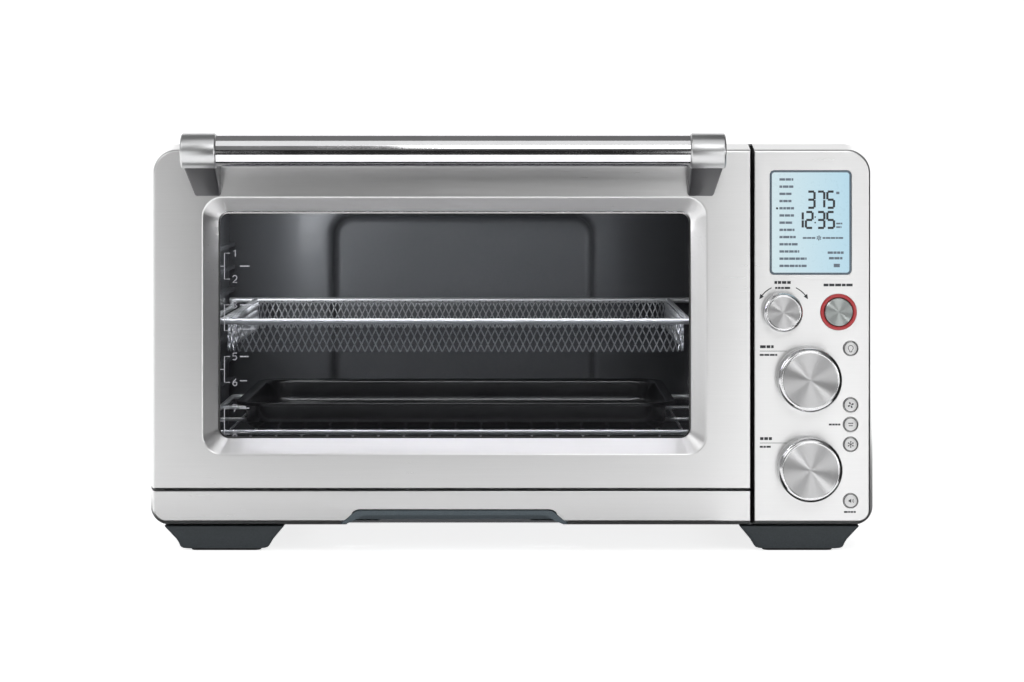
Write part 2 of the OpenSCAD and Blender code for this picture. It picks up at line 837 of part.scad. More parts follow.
// Hollow pull with sloped ends and a foot that stands on the tray
module crumb_tray_handle() color([0.28, 0.33, 0.35]) {
  foot_w = 58;
  wall = 3.6;
  difference() {
    upright(-1.5, 41.5) polygon([
      [oven_x - pull_w / 2, pull_low_z], [oven_x + pull_w / 2, pull_low_z],
      [oven_x + pull_top_w / 2, pull_low_z + pull_h], [oven_x - pull_top_w / 2, pull_low_z + pull_h]
    ]);
    upright(-3, 32) polygon([
      [oven_x - pull_w / 2 + 3 * wall, pull_low_z - 1], [oven_x + pull_w / 2 - 3 * wall, pull_low_z - 1],
      [oven_x + pull_top_w / 2 - wall, pull_low_z + pull_h - wall],
      [oven_x - pull_top_w / 2 + wall, pull_low_z + pull_h - wall]
    ]);
  }
  box(oven_x - foot_w, oven_x + foot_w, 34, 40, tray_z + tray_t, pull_low_z + 1);
}

// ---- Racks, pan and basket ----

// Closed loop of wire round a rectangle, at the height z of its centre line
module wire_loop(x0, x1, d0, d1, r, corner, z) {
  rod_x(x0 + corner, x1 - corner, r, d0, z);
  rod_x(x0 + corner, x1 - corner, r, d1, z);
  rod_y(d0 + corner, d1 - corner, r, x0, z);
  rod_y(d0 + corner, d1 - corner, r, x1, z);
  for (q = [[x0 + corner, d0 + corner, 180], [x1 - corner, d0 + corner, 270],
            [x1 - corner, d1 - corner, 0], [x0 + corner, d1 - corner, 90]])
    translate([q[0], face_y + q[1], z]) rotate([0, 0, q[2]]) rotate_extrude(angle = 90)
      translate([corner, 0]) circle(r);
}

module wire_rack() color("silver") {
  grid_z = rack_z - wire_r - grid_r + weld;
  wire_loop(oven_x - rack_off, oven_x + rack_off, rack_front_d, rack_back_d, wire_r, 8, rack_z);
  for (i = [-9:9]) rod_y(rack_front_d - 1.2, rack_back_d + 1.2, grid_r, oven_x + i * 19.6, grid_z);
  for (d = [135, 235]) rod_x(oven_x - rack_off, oven_x + rack_off, 1.6, d, rack_z);
}

// Dark enamelled pan with straight walls and a flat rim
module roasting_pan() color([0.12, 0.12, 0.13]) {
  x0 = oven_x - pan_off;
  x1 = oven_x + pan_off;
  rim = 7;
  y0 = face_y + pan_front_d;
  y1 = face_y + pan_back_d;
  difference() {
    union() {
      flat_plate(pan_low_z, pan_rim_z - pan_low_z)
        round_block2(x0 + rim, x1 - rim, y0 + rim, y1 - rim, 22);
      flat_plate(pan_rim_z - 1.2, 1.2) round_block2(x0, x1, y0, y1, 28);
    }
    flat_plate(pan_low_z + 1.2, pan_rim_z)
      round_block2(x0 + rim + 1.2, x1 - rim - 1.2, y0 + rim + 1.2, y1 - rim - 1.2, 20.8);
  }
}

// Rim wires and side rails that carry the mesh basket on the guides
module basket_frame() color("silver") {
  rail_x = rack_off;
  r = basket_wire_r;
  thin_r = r - 0.35;
  front = basket_front_d - r - 0.1;
  back = basket_back_d + r + 0.1;
  for (d = [front, back]) {
    rod_x(oven_x - rail_x - r, oven_x + rail_x + r, r, d, basket_rim_z);
    for (s = [-1, 1]) rod_z(basket_rail_z, basket_rim_z, thin_r, oven_x + s * rail_x, d);
  }
  for (s = [-1, 1]) {
    rod_y(front - r, back + r, r, oven_x + s * rail_x, basket_rail_z);
    rod_y(front, back, thin_r, oven_x + s * (basket_off + r + 0.1), basket_rim_z);
  }
}

// Open-topped mesh basket, drawn as a thin wall
module basket_mesh() color("silver") {
  x0 = oven_x - basket_off;
  x1 = oven_x + basket_off;
  y0 = face_y + basket_front_d;
  y1 = face_y + basket_back_d;
  wall = 1.5;
  difference() {
    flat_plate(basket_low_z, basket_rim_z - basket_low_z) round_block2(x0, x1, y0, y1, 20);
    flat_plate(basket_low_z + wall, basket_rim_z)
      round_block2(x0 + wall, x1 - wall, y0 + wall, y1 - wall, 20 - wall);
  }
}

outer_wrap();
base_plate();
back_panel();
rear_spacers();
case_screws();
cord_gland();
front_frame();
compartment_wall();
lower_trim();
control_fascia();
display();
start_ring();
circuit_boards();
encoders_and_switches();
cavity_left_wall();
cavity_right_wall();
cavity_top();
cavity_back();
left_rack_guides();
right_rack_guides();
top_heaters();
bottom_heaters();
heater_caps();
fan_shroud();
fan_motor();
lamp_holder();
lamp_bulb();
lamp_lens();
temperature_probe();
insulation();
feet();
foot_pads();
hinge_brackets();
hinge_pins();
door_skin();
door_inner_frame();
window_glass();
window_gasket();
handle_bar();
handle_caps();
hinge_arms();
door_magnets();
crumb_tray();
crumb_tray_handle();
wire_rack();
roasting_pan();
basket_frame();
basket_mesh();
select_plunger();
select_knob();
temperature_knob();
time_knob();
start_button();
light_button();
convection_button();
phase_button();
frozen_button();
sound_button();
convection_fan();
fan_shaft();
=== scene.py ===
import json
import math
import random

import bmesh
import bpy
from mathutils import Matrix, Vector


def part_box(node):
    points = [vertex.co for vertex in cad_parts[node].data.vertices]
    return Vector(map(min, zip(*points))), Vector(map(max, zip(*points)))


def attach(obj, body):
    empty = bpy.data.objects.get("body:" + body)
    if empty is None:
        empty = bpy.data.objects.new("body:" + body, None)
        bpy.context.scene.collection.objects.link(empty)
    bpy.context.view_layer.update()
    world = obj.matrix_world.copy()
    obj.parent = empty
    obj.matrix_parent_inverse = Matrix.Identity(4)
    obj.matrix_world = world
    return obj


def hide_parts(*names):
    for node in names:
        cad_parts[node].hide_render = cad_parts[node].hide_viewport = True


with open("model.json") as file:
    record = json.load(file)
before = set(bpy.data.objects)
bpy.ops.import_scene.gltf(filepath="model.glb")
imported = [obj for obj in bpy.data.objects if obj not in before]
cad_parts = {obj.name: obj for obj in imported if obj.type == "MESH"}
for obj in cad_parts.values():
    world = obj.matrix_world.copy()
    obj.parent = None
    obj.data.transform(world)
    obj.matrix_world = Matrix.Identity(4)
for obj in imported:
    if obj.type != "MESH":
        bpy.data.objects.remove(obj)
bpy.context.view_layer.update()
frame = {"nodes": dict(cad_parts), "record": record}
NODES = frame["nodes"]
RECORD = frame["record"]
MM = 0.001


# ---- Places from the frame

def limits(node):
    lo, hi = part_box(node)
    return lo.x, hi.x, lo.y, hi.y, lo.z, hi.z


def centre(node):
    lo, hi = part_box(node)
    return (lo + hi) / 2


def add_object(name, data):
    thing = bpy.data.objects.new(name, data)
    bpy.context.scene.collection.objects.link(thing)
    return thing


DOOR_L, DOOR_R, FACE_Y, _, DOOR_LOW, TOP_Z = limits("door_skin")
GLASS = limits("window_glass")
GLASS_Y = GLASS[2]
OVEN_X = centre("window_glass").x
GLASS_LAP = 7 * MM
WINDOW = (GLASS[0] + GLASS_LAP, GLASS[1] - GLASS_LAP, GLASS[4] + GLASS_LAP, GLASS[5] - GLASS_LAP)
DISPLAY = limits("display")
DISPLAY_EDGE = 3 * MM
SCREEN = (DISPLAY[0] + DISPLAY_EDGE, DISPLAY[1] - DISPLAY_EDGE,
          DISPLAY[4] + DISPLAY_EDGE, DISPLAY[5] - DISPLAY_EDGE)
BUTTONS = ["light_button", "convection_button", "phase_button", "frozen_button", "sound_button"]


# ---- Camera

def make_camera():
    """A level camera at the height of the oven's top; the lens is shifted down to centre the oven."""
    distance = 2.1
    height = 0.308
    width_at_face = 0.7733
    frame_centre_z = 0.1615
    data = bpy.data.cameras.new("camera")
    data.sensor_width = 36
    data.lens = data.sensor_width * distance / width_at_face
    data.shift_y = (frame_centre_z - height) / width_at_face
    data.clip_end = 50
    camera = add_object("camera", data)
    camera.location = (0.0002, FACE_Y - distance, height)
    camera.rotation_euler = (math.pi / 2, 0, 0)
    bpy.context.scene.camera = camera


make_camera()


# ---- Materials

MAT = {}


def new_material(name):
    material = MAT[name] = bpy.data.materials.new(name)
    material.use_nodes = True
    return material.node_tree, material.node_tree.nodes["Principled BSDF"]


def fill(tree, node, inputs):
    """Gives each input its value, or links it to the socket that feeds it."""
    for key, value in inputs.items():
        if isinstance(value, bpy.types.NodeSocket):
            tree.links.new(value, node.inputs[key])
        else:
            node.inputs[key].default_value = value


def add_node(tree, kind, inputs=None, **settings):
    node = tree.nodes.new("ShaderNode" + kind)
    for key, value in settings.items():
        setattr(node, key, value)
    fill(tree, node, inputs or {})
    return node


def noise(tree, scale, detail=3.0):
    """Noise in the piece's own metres; scale is one number, or three for streaks."""
    coord = add_node(tree, "TexCoord")
    mapping = add_node(tree, "Mapping", {"Vector": coord.outputs["Object"],
                                         "Scale": scale if isinstance(scale, tuple) else (scale,) * 3})
    return add_node(tree, "TexNoise", {"Vector": mapping.outputs["Vector"], "Scale": 1, "Detail": detail,
                                       "Roughness": 0.6}).outputs["Fac"]


def ramp(tree, source, low, high, start=0.3, end=0.7):
    """Maps a value onto the range low..high."""
    return add_node(tree, "MapRange", {"Value": source, "From Min": start, "From Max": end, "To Min": low,
                                       "To Max": high}).outputs["Result"]


def shade_mix(tree, source, dark, light):
    return add_node(tree, "Mix", {"Factor": source, "A": (*dark, 1), "B": (*light, 1)},
                    data_type="RGBA").outputs["Result"]


def relief(tree, source, strength, distance):
    bump = add_node(tree, "Bump", {"Strength": strength, "Distance": distance, "Height": source})
    return bump.outputs["Normal"]


def brushed_metal(name, base, rough, grain=(14, 900, 900), tangent=(0, 0, 1)):
    """Sheet metal brushed along one axis: long fine streaks in colour, roughness and relief. The
    reflections spread along the tangent, across the streaks."""
    tree, shader = new_material(name)
    streaks = noise(tree, grain, detail=4)
    cloud = noise(tree, 6, detail=2)
    gloss = add_node(tree, "Math", {0: ramp(tree, streaks, -0.012, 0.018),
                                    1: ramp(tree, cloud, rough - 0.01, rough + 0.01)}, operation="ADD")
    direction = add_node(tree, "CombineXYZ", dict(zip("XYZ", tangent)))
    colour = shade_mix(tree, ramp(tree, streaks, 0, 1), [c * 0.975 for c in base], base)
    fill(tree, shader, {"Base Color": colour, "Roughness": gloss.outputs[0], "Metallic": 1,
                        "Anisotropic": 0.75, "Tangent": direction.outputs[0],
                        "Normal": relief(tree, streaks, 0.03, 0.00005)})


def spun_metal(name, base, rough):
    """Turned metal whose grain runs in circles round the piece's own axis."""
    tree, shader = new_material(name)
    coord = add_node(tree, "TexCoord")
    centred = add_node(tree, "VectorMath", {0: coord.outputs["Generated"], 1: (0.5, 0.5, 0.5)},
                       operation="SUBTRACT")
    flat = add_node(tree, "VectorMath", {0: centred.outputs[0], 1: (1, 0, 1)}, operation="MULTIPLY")
    radius = add_node(tree, "VectorMath", {0: flat.outputs[0]}, operation="LENGTH").outputs["Value"]
    rings = add_node(tree, "TexNoise", {"W": radius, "Scale": 260, "Detail": 2},
                     noise_dimensions="1D").outputs["Fac"]
    tangent = add_node(tree, "Tangent", direction_type="RADIAL", axis="Y")
    colour = shade_mix(tree, ramp(tree, rings, 0, 1), [c * 0.86 for c in base], base)
    fill(tree, shader, {"Base Color": colour,
                        "Roughness": ramp(tree, rings, rough - 0.03, rough + 0.04), "Metallic": 1,
                        "Anisotropic": 1, "Anisotropic Rotation": 0.25, "Tangent": tangent.outputs[0],
                        "Normal": relief(tree, rings, 0.05, 0.00004)})


def smooth_metal(name, base, rough, wear=0.03):
    """Plated or cast metal with faint cloudy variation."""
    tree, shader = new_material(name)
    cloud = noise(tree, 40, detail=4)
    fine = noise(tree, 1500, detail=1)
    colour = shade_mix(tree, ramp(tree, cloud, 0, 1), [c * 0.95 for c in base], base)
    fill(tree, shader, {"Base Color": colour,
                        "Roughness": ramp(tree, cloud, max(rough - wear, 0.02), rough + wear), "Metallic": 1,
                        "Normal": relief(tree, fine, 0.01 + rough * 0.04, 0.000008)})


def coated(name, base, rough, coat=0.0, speckle=0.15, bump=0.00004, metallic=0.0, grain=900):
    """Paint, enamel, rubber or moulded plastic: fine texture, with uneven gloss."""
    tree, shader = new_material(name)
    fine = noise(tree, grain, detail=2)
    cloud = noise(tree, 25)
    light = [min(c * (1 + speckle), 1) for c in base]
    dark = [c * (1 - speckle) for c in base]
    fill(tree, shader, {"Base Color": shade_mix(tree, ramp(tree, fine, 0, 1), dark, light),
                        "Roughness": ramp(tree, cloud, max(rough - 0.05, 0.03), min(rough + 0.05, 1)),
                        "Coat Weight": coat, "Coat Roughness": 0.08, "Metallic": metallic,
                        "Normal": relief(tree, fine, 0.25, bump)})


def tinted_glass(name):
    """Flat glass: what is behind shows through, with a reflection over it."""
    tree, shader = new_material(name)
    tree.nodes.remove(shader)
    clear = add_node(tree, "BsdfTransparent", {"Color": (0.88, 0.89, 0.90, 1)})
    gloss = add_node(tree, "BsdfGlossy", {"Color": (0.92, 0.90, 0.98, 1),
                                          "Roughness": ramp(tree, noise(tree, 9, detail=5), 0.01, 0.05)})
    fresnel = add_node(tree, "Fresnel", {"IOR": 1.8})
    mix = add_node(tree, "MixShader", {0: fresnel.outputs[0], 1: clear.outputs[0], 2: gloss.outputs[0]})
    fill(tree, tree.nodes["Material Output"], {"Surface": mix.outputs[0]})


def clear_glass(name, tint, rough=0.05):
    tree, shader = new_material(name)
    fill(tree, shader, {"Base Color": (*tint, 1), "Transmission Weight": 0.85, "IOR": 1.46,
                        "Roughness": ramp(tree, noise(tree, 60), rough, rough + 0.08)})


def lit_screen(name):
    """Pale blue, a little deeper towards the right."""
    tree, shader = new_material(name)
    coord = add_node(tree, "TexCoord")
    split = add_node(tree, "SeparateXYZ", {0: coord.outputs["Generated"]})
    slope = add_node(tree, "Math", {0: split.outputs["X"], 1: 0.8, 2: 0.1}, operation="MULTIPLY_ADD")
    colour = shade_mix(tree, slope.outputs[0], (0.80, 0.92, 0.92), (0.50, 0.76, 0.90))
    fill(tree, shader, {"Emission Color": colour, "Emission Strength": 0.68,
                        "Base Color": (0.10, 0.15, 0.18, 1),
                        "Roughness": ramp(tree, noise(tree, 400), 0.25, 0.35)})


def ink(name, base, strength=0.0):
    """Printed marks. A strength above zero adds a painted glow."""
    tree, shader = new_material(name)
    light = [min(c * 1.15 + 0.004, 1) for c in base]
    fill(tree, shader, {"Base Color": shade_mix(tree, ramp(tree, noise(tree, 1200), 0, 1), base, light),
                        "Roughness": 0.55, "Emission Color": (*base, 1), "Emission Strength": strength})


brushed_metal("brushed_steel", (0.77, 0.77, 0.77), 0.29)
brushed_metal("wrap_steel", (0.56, 0.56, 0.57), 0.38, grain=(900, 14, 900), tangent=(0.7, 0, 0.7))
smooth_metal("satin_cap", (0.62, 0.625, 0.63), 0.32)
# Painted shade: the handle brackets are the cap's satin metal, darkened to stand for the shade under the bar
smooth_metal("bracket_metal_painted_shade", (0.15, 0.15, 0.155), 0.38)
smooth_metal("chrome", (0.78, 0.78, 0.79), 0.10)
coated("wire_chrome", (0.92, 0.93, 0.95), 0.34, metallic=0.55, speckle=0.04, bump=0.00001)
coated("mesh_metal", (0.50, 0.51, 0.53), 0.40, metallic=0.6, speckle=0.25, grain=500)
# Painted shade: the basket floor's strands are the walls' expanded metal, darkened to stand for the shade in
# the basket
coated("mesh_painted_shade", (0.10, 0.102, 0.108), 0.45, metallic=0.6, speckle=0.2)
smooth_metal("galvanised", (0.50, 0.51, 0.52), 0.42, wear=0.03)
coated("cavity_coat", (0.155, 0.16, 0.17), 0.45, coat=0.2, metallic=0.4, speckle=0.08)
coated("enamel", (0.006, 0.006, 0.007), 0.22, coat=0.3, bump=0.00001)
coated("slate_plastic", (0.055, 0.075, 0.088), 0.48)
coated("charcoal_plastic", (0.040, 0.048, 0.054), 0.50)
coated("black_plastic", (0.012, 0.012, 0.013), 0.45)
coated("black_rubber", (0.012, 0.012, 0.012), 0.75)
coated("silicone", (0.02, 0.02, 0.02), 0.6)
tinted_glass("window")
clear_glass("lens", (0.9, 0.92, 0.93))
coated("display_glass", (0.09, 0.12, 0.15), 0.2, coat=0.5)
coated("red_ring", (0.42, 0.025, 0.03), 0.35, coat=0.3, speckle=0.06)
coated("board", (0.02, 0.12, 0.06), 0.4, coat=0.3)
spun_metal("spun_metal", (0.66, 0.66, 0.665), 0.46)
brushed_metal("button_metal", (0.66, 0.66, 0.66), 0.36)
clear_glass("quartz", (0.85, 0.84, 0.80), rough=0.4)
coated("ceramic", (0.72, 0.70, 0.64), 0.8, speckle=0.05)
coated("wool", (0.62, 0.56, 0.40), 0.95, speckle=0.3, bump=0.0008, grain=300)
smooth_metal("steel_dark", (0.16, 0.16, 0.17), 0.45)
spun_metal("start_metal", (0.46, 0.49, 0.48), 0.42)
lit_screen("lit_screen")
ink("black_ink", (0.018, 0.020, 0.024))
ink("grey_ink", (0.11, 0.14, 0.175))
# Painted glow: the white print on the glass gives off a little light of its own
ink("white_ink_painted_glow", (0.34, 0.34, 0.37), strength=0.12)
coated("shadow_gap", (0.004, 0.004, 0.004), 0.8)
smooth_metal("knob_side", (0.70, 0.70, 0.71), 0.16)


def dress_cad_nodes():
    """Every CAD node takes the material of its slot."""
    for row in RECORD["subparts"]:
        node = NODES[row["node"]]
        node.data.materials.clear()
        node.data.materials.append(MAT[row["material_slot"]])
    # The compartment's edge is painted black as shade: it shows only as the shadowed line between door and
    # panel
    NODES["compartment_wall"].data.materials[0] = MAT["shadow_gap"]


dress_cad_nodes()


# ---- Mesh helpers

def to_mesh(name, bm, smooth=True, angle=32, outward=None):
    """Finishes a bmesh. outward is a direction that the open shell's faces should point along."""
    bmesh.ops.remove_doubles(bm, verts=bm.verts, dist=1e-7)
    bmesh.ops.recalc_face_normals(bm, faces=bm.faces)
    if outward is not None:
        total = sum(f.normal.dot(Vector(outward)) * f.calc_area() for f in bm.faces)
        if total < 0:
            bmesh.ops.reverse_faces(bm, faces=bm.faces)
    mesh = bpy.data.meshes.new(name)
    bm.to_mesh(mesh)
    bm.free()
    if smooth:
        mesh.polygons.foreach_set("use_smooth", [True] * len(mesh.polygons))
        mesh.set_sharp_from_angle(angle=math.radians(angle))
    return mesh


def add_piece(name, bm, body, slot, replaced=(), material=None, **shape):
    """Makes a bmesh a piece that rides on a body. Its material is the slot's, unless one is named."""
    piece = add_object(name, to_mesh(name, bm, **shape))
    piece.data.materials.append(MAT[material or slot])
    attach(piece, body)
    if replaced:
        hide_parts(*replaced)
    return piece


def round_rect(a0, a1, b0, b1, radii, steps=10):
    """Points round a rectangle, counterclockwise from the lower left corner.
    radii = (lower left, lower right, upper right, upper left)."""
    points = []
    corners = [(a0, b0, 1, 1, 180), (a1, b0, -1, 1, 270), (a1, b1, -1, -1, 0), (a0, b1, 1, -1, 90)]
    for (a, b, sa, sb, start), radius in zip(corners, radii):
        radius = max(radius, 1e-6)
        for i in range(steps + 1):
            angle = math.radians(start + 90 * i / steps)
            points.append((a + sa * radius + radius * math.cos(angle),
                           b + sb * radius + radius * math.sin(angle)))
    return points


def grown(box, grow, radius, steps=10):
    """The rounded rectangle box = (a0, a1, b0, b1), moved outwards by grow on every side."""
    a0, a1, b0, b1 = box
    return round_rect(a0 - grow, a1 + grow, b0 - grow, b1 + grow, [radius] * 4, steps)


def circle(cx, cz, radius, steps=64):
    return [(cx + radius * math.cos(2 * math.pi * i / steps), cz + radius * math.sin(2 * math.pi * i / steps))
            for i in range(steps)]


def arc(cx, cy, radius, start, end, steps):
    turns = [math.radians(start + (end - start) * i / steps) for i in range(steps + 1)]
    return [(cx + radius * math.cos(a), cy + radius * math.sin(a)) for a in turns]


def standing(points, y):
    return [(a, y, b) for a, b in points]


def lying(points, z):
    return [(a, b, z) for a, b in points]


def bridge(bm, lower, upper, closed=True):
    count = len(lower)
    for i in range(count if closed else count - 1):
        j = (i + 1) % count
        bm.faces.new((lower[i], lower[j], upper[j], upper[i]))


def add_loops(bm, loops, last=None, closed=True, cap=False):
    """Joins each loop of points to the one before, and caps the first one if asked. Returns the last."""
    for points in loops:
        ring = [bm.verts.new(p) for p in points]
        if last:
            bridge(bm, last, ring, closed)
        elif cap:
            bm.faces.new(ring)
        last = ring
    return last


def fill_between(bm, outer, holes):
    """Fills the flat region inside outer and outside the hole loops."""
    edges = []
    for loop in [outer, *holes]:
        for i, vert in enumerate(loop):
            after = loop[(i + 1) % len(loop)]
            edges.append(bm.edges.get((vert, after)) or bm.edges.new((vert, after)))
    bmesh.ops.triangle_fill(bm, use_beauty=True, use_dissolve=False, edges=edges)


def lathe(name, profile, c, body, slot, replaced=(), material=None, steps=96, angle=32):
    """Turns (radius, forward) points, in millimetres, round an axis along Y through c. Forward runs
    towards -Y from the front face."""
    bm = bmesh.new()
    rings = []
    for radius, forward in profile:
        y = FACE_Y - forward * MM
        points = [(c.x, c.z)] if radius == 0 else circle(c.x, c.z, radius * MM, steps)
        rings.append([bm.verts.new(p) for p in standing(points, y)])
    for low, high in zip(rings, rings[1:]):
        if len(low) == len(high):
            bridge(bm, low, high)
            continue
        for i in range(steps):
            j = (i + 1) % steps
            bm.faces.new((low[i], low[j], high[0]) if len(high) == 1 else (low[0], high[j], high[i]))
    return add_piece(name, bm, body, slot, replaced, material, angle=angle)


def add_prism(bm, points, y, thick):
    """A flat shape drawn in X and Z, standing at y and thickened towards -Y."""
    back = [bm.verts.new((a, y, b)) for a, b in points]
    front = [bm.verts.new((a, y - thick, b)) for a, b in points]
    bm.faces.new(front)
    bm.faces.new(list(reversed(back)))
    bridge(bm, back, front)


def modify(piece, kind, **settings):
    """Adds a modifier and bakes it into the piece's own mesh."""
    modifier = piece.modifiers.new(kind, kind)
    for key, value in settings.items():
        setattr(modifier, key, value)
    depsgraph = bpy.context.evaluated_depsgraph_get()
    mesh = bpy.data.meshes.new_from_object(piece.evaluated_get(depsgraph), depsgraph=depsgraph)
    piece.modifiers.clear()
    piece.data = mesh


def thicken(piece, thickness):
    modify(piece, "SOLIDIFY", thickness=thickness, offset=-1, use_even_offset=True)


def flatten_normals(piece):
    """Keeps broad flat faces flat where they meet rounded edges."""
    modify(piece, "WEIGHTED_NORMAL", keep_sharp=True, weight=100)


def cut_away(piece, shape, smooth=True):
    """Takes a bmesh out of a piece. The cut faces are shaded smooth or flat."""
    cutter = add_object("cutter", to_mesh("cutter", shape, smooth=smooth))
    modify(piece, "BOOLEAN", object=cutter, operation="DIFFERENCE", solver="EXACT")
    bpy.data.objects.remove(cutter)


def round_edges(piece, width, segments=3, angle=30):
    modify(piece, "BEVEL", width=width, segments=segments, limit_method="ANGLE",
           angle_limit=math.radians(angle), harden_normals=False)
    piece.data.polygons.foreach_set("use_smooth", [True] * len(piece.data.polygons))
    piece.data.set_sharp_from_angle(angle=math.radians(40))


# ---- Pressed steel front

# Depth, inset on bevelled sides and inset on plain sides, from the back edge to the flat face
FRONT_PROFILE = [(22.0, 0.0, 0.0), (21.4, 0.12, 0.0), (2.6, 4.1, 0.0), (1.9, 4.27, 0.0), (1.2, 4.55, 0.0),
                 (0.65, 4.95, 0.03), (0.25, 5.5, 0.18), (0.06, 5.95, 0.38), (0.0, 6.4, 0.7)]


def front_rings(bm, node, radii, sides):
    """A bevelled front from its back edge to its flat face. sides = which of (left, right, bottom,
    top) are bevelled. Returns the last ring."""
    x0, x1, _, _, z0, z1 = limits(node)
    loops = []
    for depth, inset, plain in FRONT_PROFILE:
        cut = [(inset if s else plain) * MM for s in sides]
        shrunk = [(r - inset) * MM if r else 0 for r in radii]
        points = round_rect(x0 + cut[0], x1 - cut[1], z0 + cut[2], z1 - cut[3], shrunk)
        loops.append(standing(points, FACE_Y + depth * MM))
    return add_loops(bm, loops)


def make_door_skin():
    bm = bmesh.new()
    face = front_rings(bm, "door_skin", (0, 0, 0, 22), (1, 0, 0, 1))
    # Depth and distance outside the glass opening, down the sloped wall to the lip on the glass
    walls = [(0.0, 12.0), (0.05, 11.5), (0.25, 11.05), (0.6, 10.6), (1.1, 10.0), (9.4, 1.0), (9.9, 0.5),
             (10.2, 0.2), (10.45, 0.0)]
    add_loops(bm, [standing(grown(WINDOW, out * MM, (8 + out * 0.6) * MM), FACE_Y + depth * MM)
                   for depth, out in walls], face)
    piece = add_piece("door_front", bm, "door", "brushed_steel", ["door_skin"], outward=(0, -1, 0))
    thicken(piece, 1.0 * MM)
    # Behind the sheet, the lower edge is open where the two hinges come through
    x0, x1 = limits("hinge_pins")[:2]
    half_pin = 4.2 * MM
    notches = bmesh.new()
    size = Matrix.Diagonal((9.2 * MM, 23.8 * MM, 2.6 * MM, 1))
    for x in (x0 + half_pin, x1 - half_pin):
        place = Matrix.Translation((x, FACE_Y + 13 * MM, DOOR_LOW))
        bmesh.ops.create_cube(notches, size=1, matrix=place @ size)
    cut_away(piece, notches, smooth=False)
    flatten_normals(piece)


def make_fascia():
    bm = bmesh.new()
    face = front_rings(bm, "control_fascia", (0, 14, 22, 0), (0, 1, 1, 1))
    shapes = [lambda grow: grown(SCREEN, grow, 3.8 * MM + grow)]
    rounds = [("select_knob", 3.6), ("temperature_knob", 3.6), ("time_knob", 3.6), ("start_ring", 13.75)]
    for node, radius in rounds + [(button, 5.75) for button in BUTTONS]:
        c = centre(node)
        shapes.append(lambda grow, c=c, radius=radius * MM: circle(c.x, c.z, radius + grow))
    # Depth and growth of each hole's edge, from its inner end to the face
    lip = [(1.4, 0.0), (0.35, 0.0), (0.12, 0.08), (0.0, 0.3)]
    holes = [add_loops(bm, [standing(shape(grow * MM), FACE_Y + depth * MM) for depth, grow in lip])
             for shape in shapes]
    fill_between(bm, face, holes)
    piece = add_piece("fascia_front", bm, "chassis", "brushed_steel", ["control_fascia"], outward=(0, -1, 0))
    flatten_normals(piece)


def pull_outline(grow, drop=0.0):
    """The crumb tray pull's outline: a low trapezoid with rounded upper corners."""
    x0, x1, _, _, _, z1 = limits("crumb_tray_handle")
    rise, run, radius = 9.9 * MM, 11.7 * MM, 9 * MM
    low = z1 - rise - drop
    lean = math.degrees(math.atan2(rise, run))
    tangent = radius * math.tan(math.radians(lean / 2))
    top = z1 + grow - radius
    right = arc(x1 - run + grow * 0.4 - tangent, top, radius, 90 - lean, 90, 6)
    left = arc(x0 + run - grow * 0.4 + tangent, top, radius, 90, 90 + lean, 6)
    return [(x1 + grow, low)] + right + left + [(x0 - grow, low)]


def make_trim():
    bm = bmesh.new()
    bm.faces.new(front_rings(bm, "lower_trim", (14, 0, 0, 0), (1, 0, 1, 0)))
    piece = add_piece("trim_front", bm, "chassis", "brushed_steel", ["lower_trim"], outward=(0, -1, 0))
    thicken(piece, 1.0 * MM)
    opening = bmesh.new()
    add_prism(opening, pull_outline(0.9 * MM, drop=12 * MM), FACE_Y + 30 * MM, 40 * MM)
    cut_away(piece, opening)
    flatten_normals(piece)


make_door_skin()
make_fascia()
make_trim()


# ---- Handle

def extrude_side(name, profile, spans, material, replaced=()):
    """A solid with the side outline profile, in Y and Z. spans gives its left and right X at each point."""
    bm = bmesh.new()
    loops = [[bm.verts.new((span[k], y, z)) for (y, z), span in zip(profile, spans)] for k in (0, 1)]
    bridge(bm, loops[0], loops[1])
    for loop in loops:
        bm.faces.new(loop)
    piece = add_piece(name, bm, "door", "satin_cap", replaced, material, smooth=False)
    round_edges(piece, 1.8 * MM, segments=4, angle=50)


def make_handle_caps():
    """A rounded drum at each end of the bar, on a bracket that runs down and inwards to the door. The bracket
    is the cap's satin metal, darkened as painted shade.
    """
    bar = centre("handle_bar")
    x0, x1 = limits("handle_bar")[:2]
    cap_x0, cap_x1, cap_y = limits("handle_caps")[:3]
    radius = bar.y - cap_y
    half = 13.3 * MM
    foot_half, foot_shift, foot_low, foot_high = 10 * MM, 3.3 * MM, 270.4 * MM, 301.4 * MM
    drum = arc(bar.y, bar.z, radius, 62, 298, 36) + arc(bar.y + 4 * MM, bar.z, radius * 0.93, -50, 50, 12)
    bracket = [(bar.y - 8 * MM, bar.z - 9.5 * MM), (FACE_Y, foot_low), (FACE_Y, foot_high),
               (bar.y + 4 * MM, bar.z + 9 * MM)]
    for side, inner, outer in ((-1, x0, cap_x0), (1, x1, cap_x1)):
        name = "left" if side < 0 else "right"
        middle = (inner + outer) / 2
        extrude_side("handle_cap_" + name, drum, [(middle - half, middle + half)] * len(drum), "satin_cap",
                     ["handle_caps"] if side < 0 else [])
        foot = middle - side * foot_shift
        near = (middle - half + MM, middle + half - MM)
        far = (foot - foot_half, foot + foot_half)
        # The bracket takes the darkened metal: painted shade under the bar
        extrude_side("handle_bracket_" + name, bracket, [near, far, far, near], "bracket_metal_painted_shade")


def make_handle_bar():
    x0, x1, _, _, z0, z1 = limits("handle_bar")
    bar = centre("handle_bar")
    section = circle(bar.y, bar.z, (z1 - z0) / 2, 96)
    bm = bmesh.new()
    rings = [[bm.verts.new((x, y, z)) for y, z in section] for x in (x0, x1)]
    bridge(bm, *rings)
    for ring in rings:
        bm.faces.new(ring)
    add_piece("handle_tube", bm, "door", "chrome", ["handle_bar"])


make_handle_caps()
make_handle_bar()


# ---- Feet and crumb tray

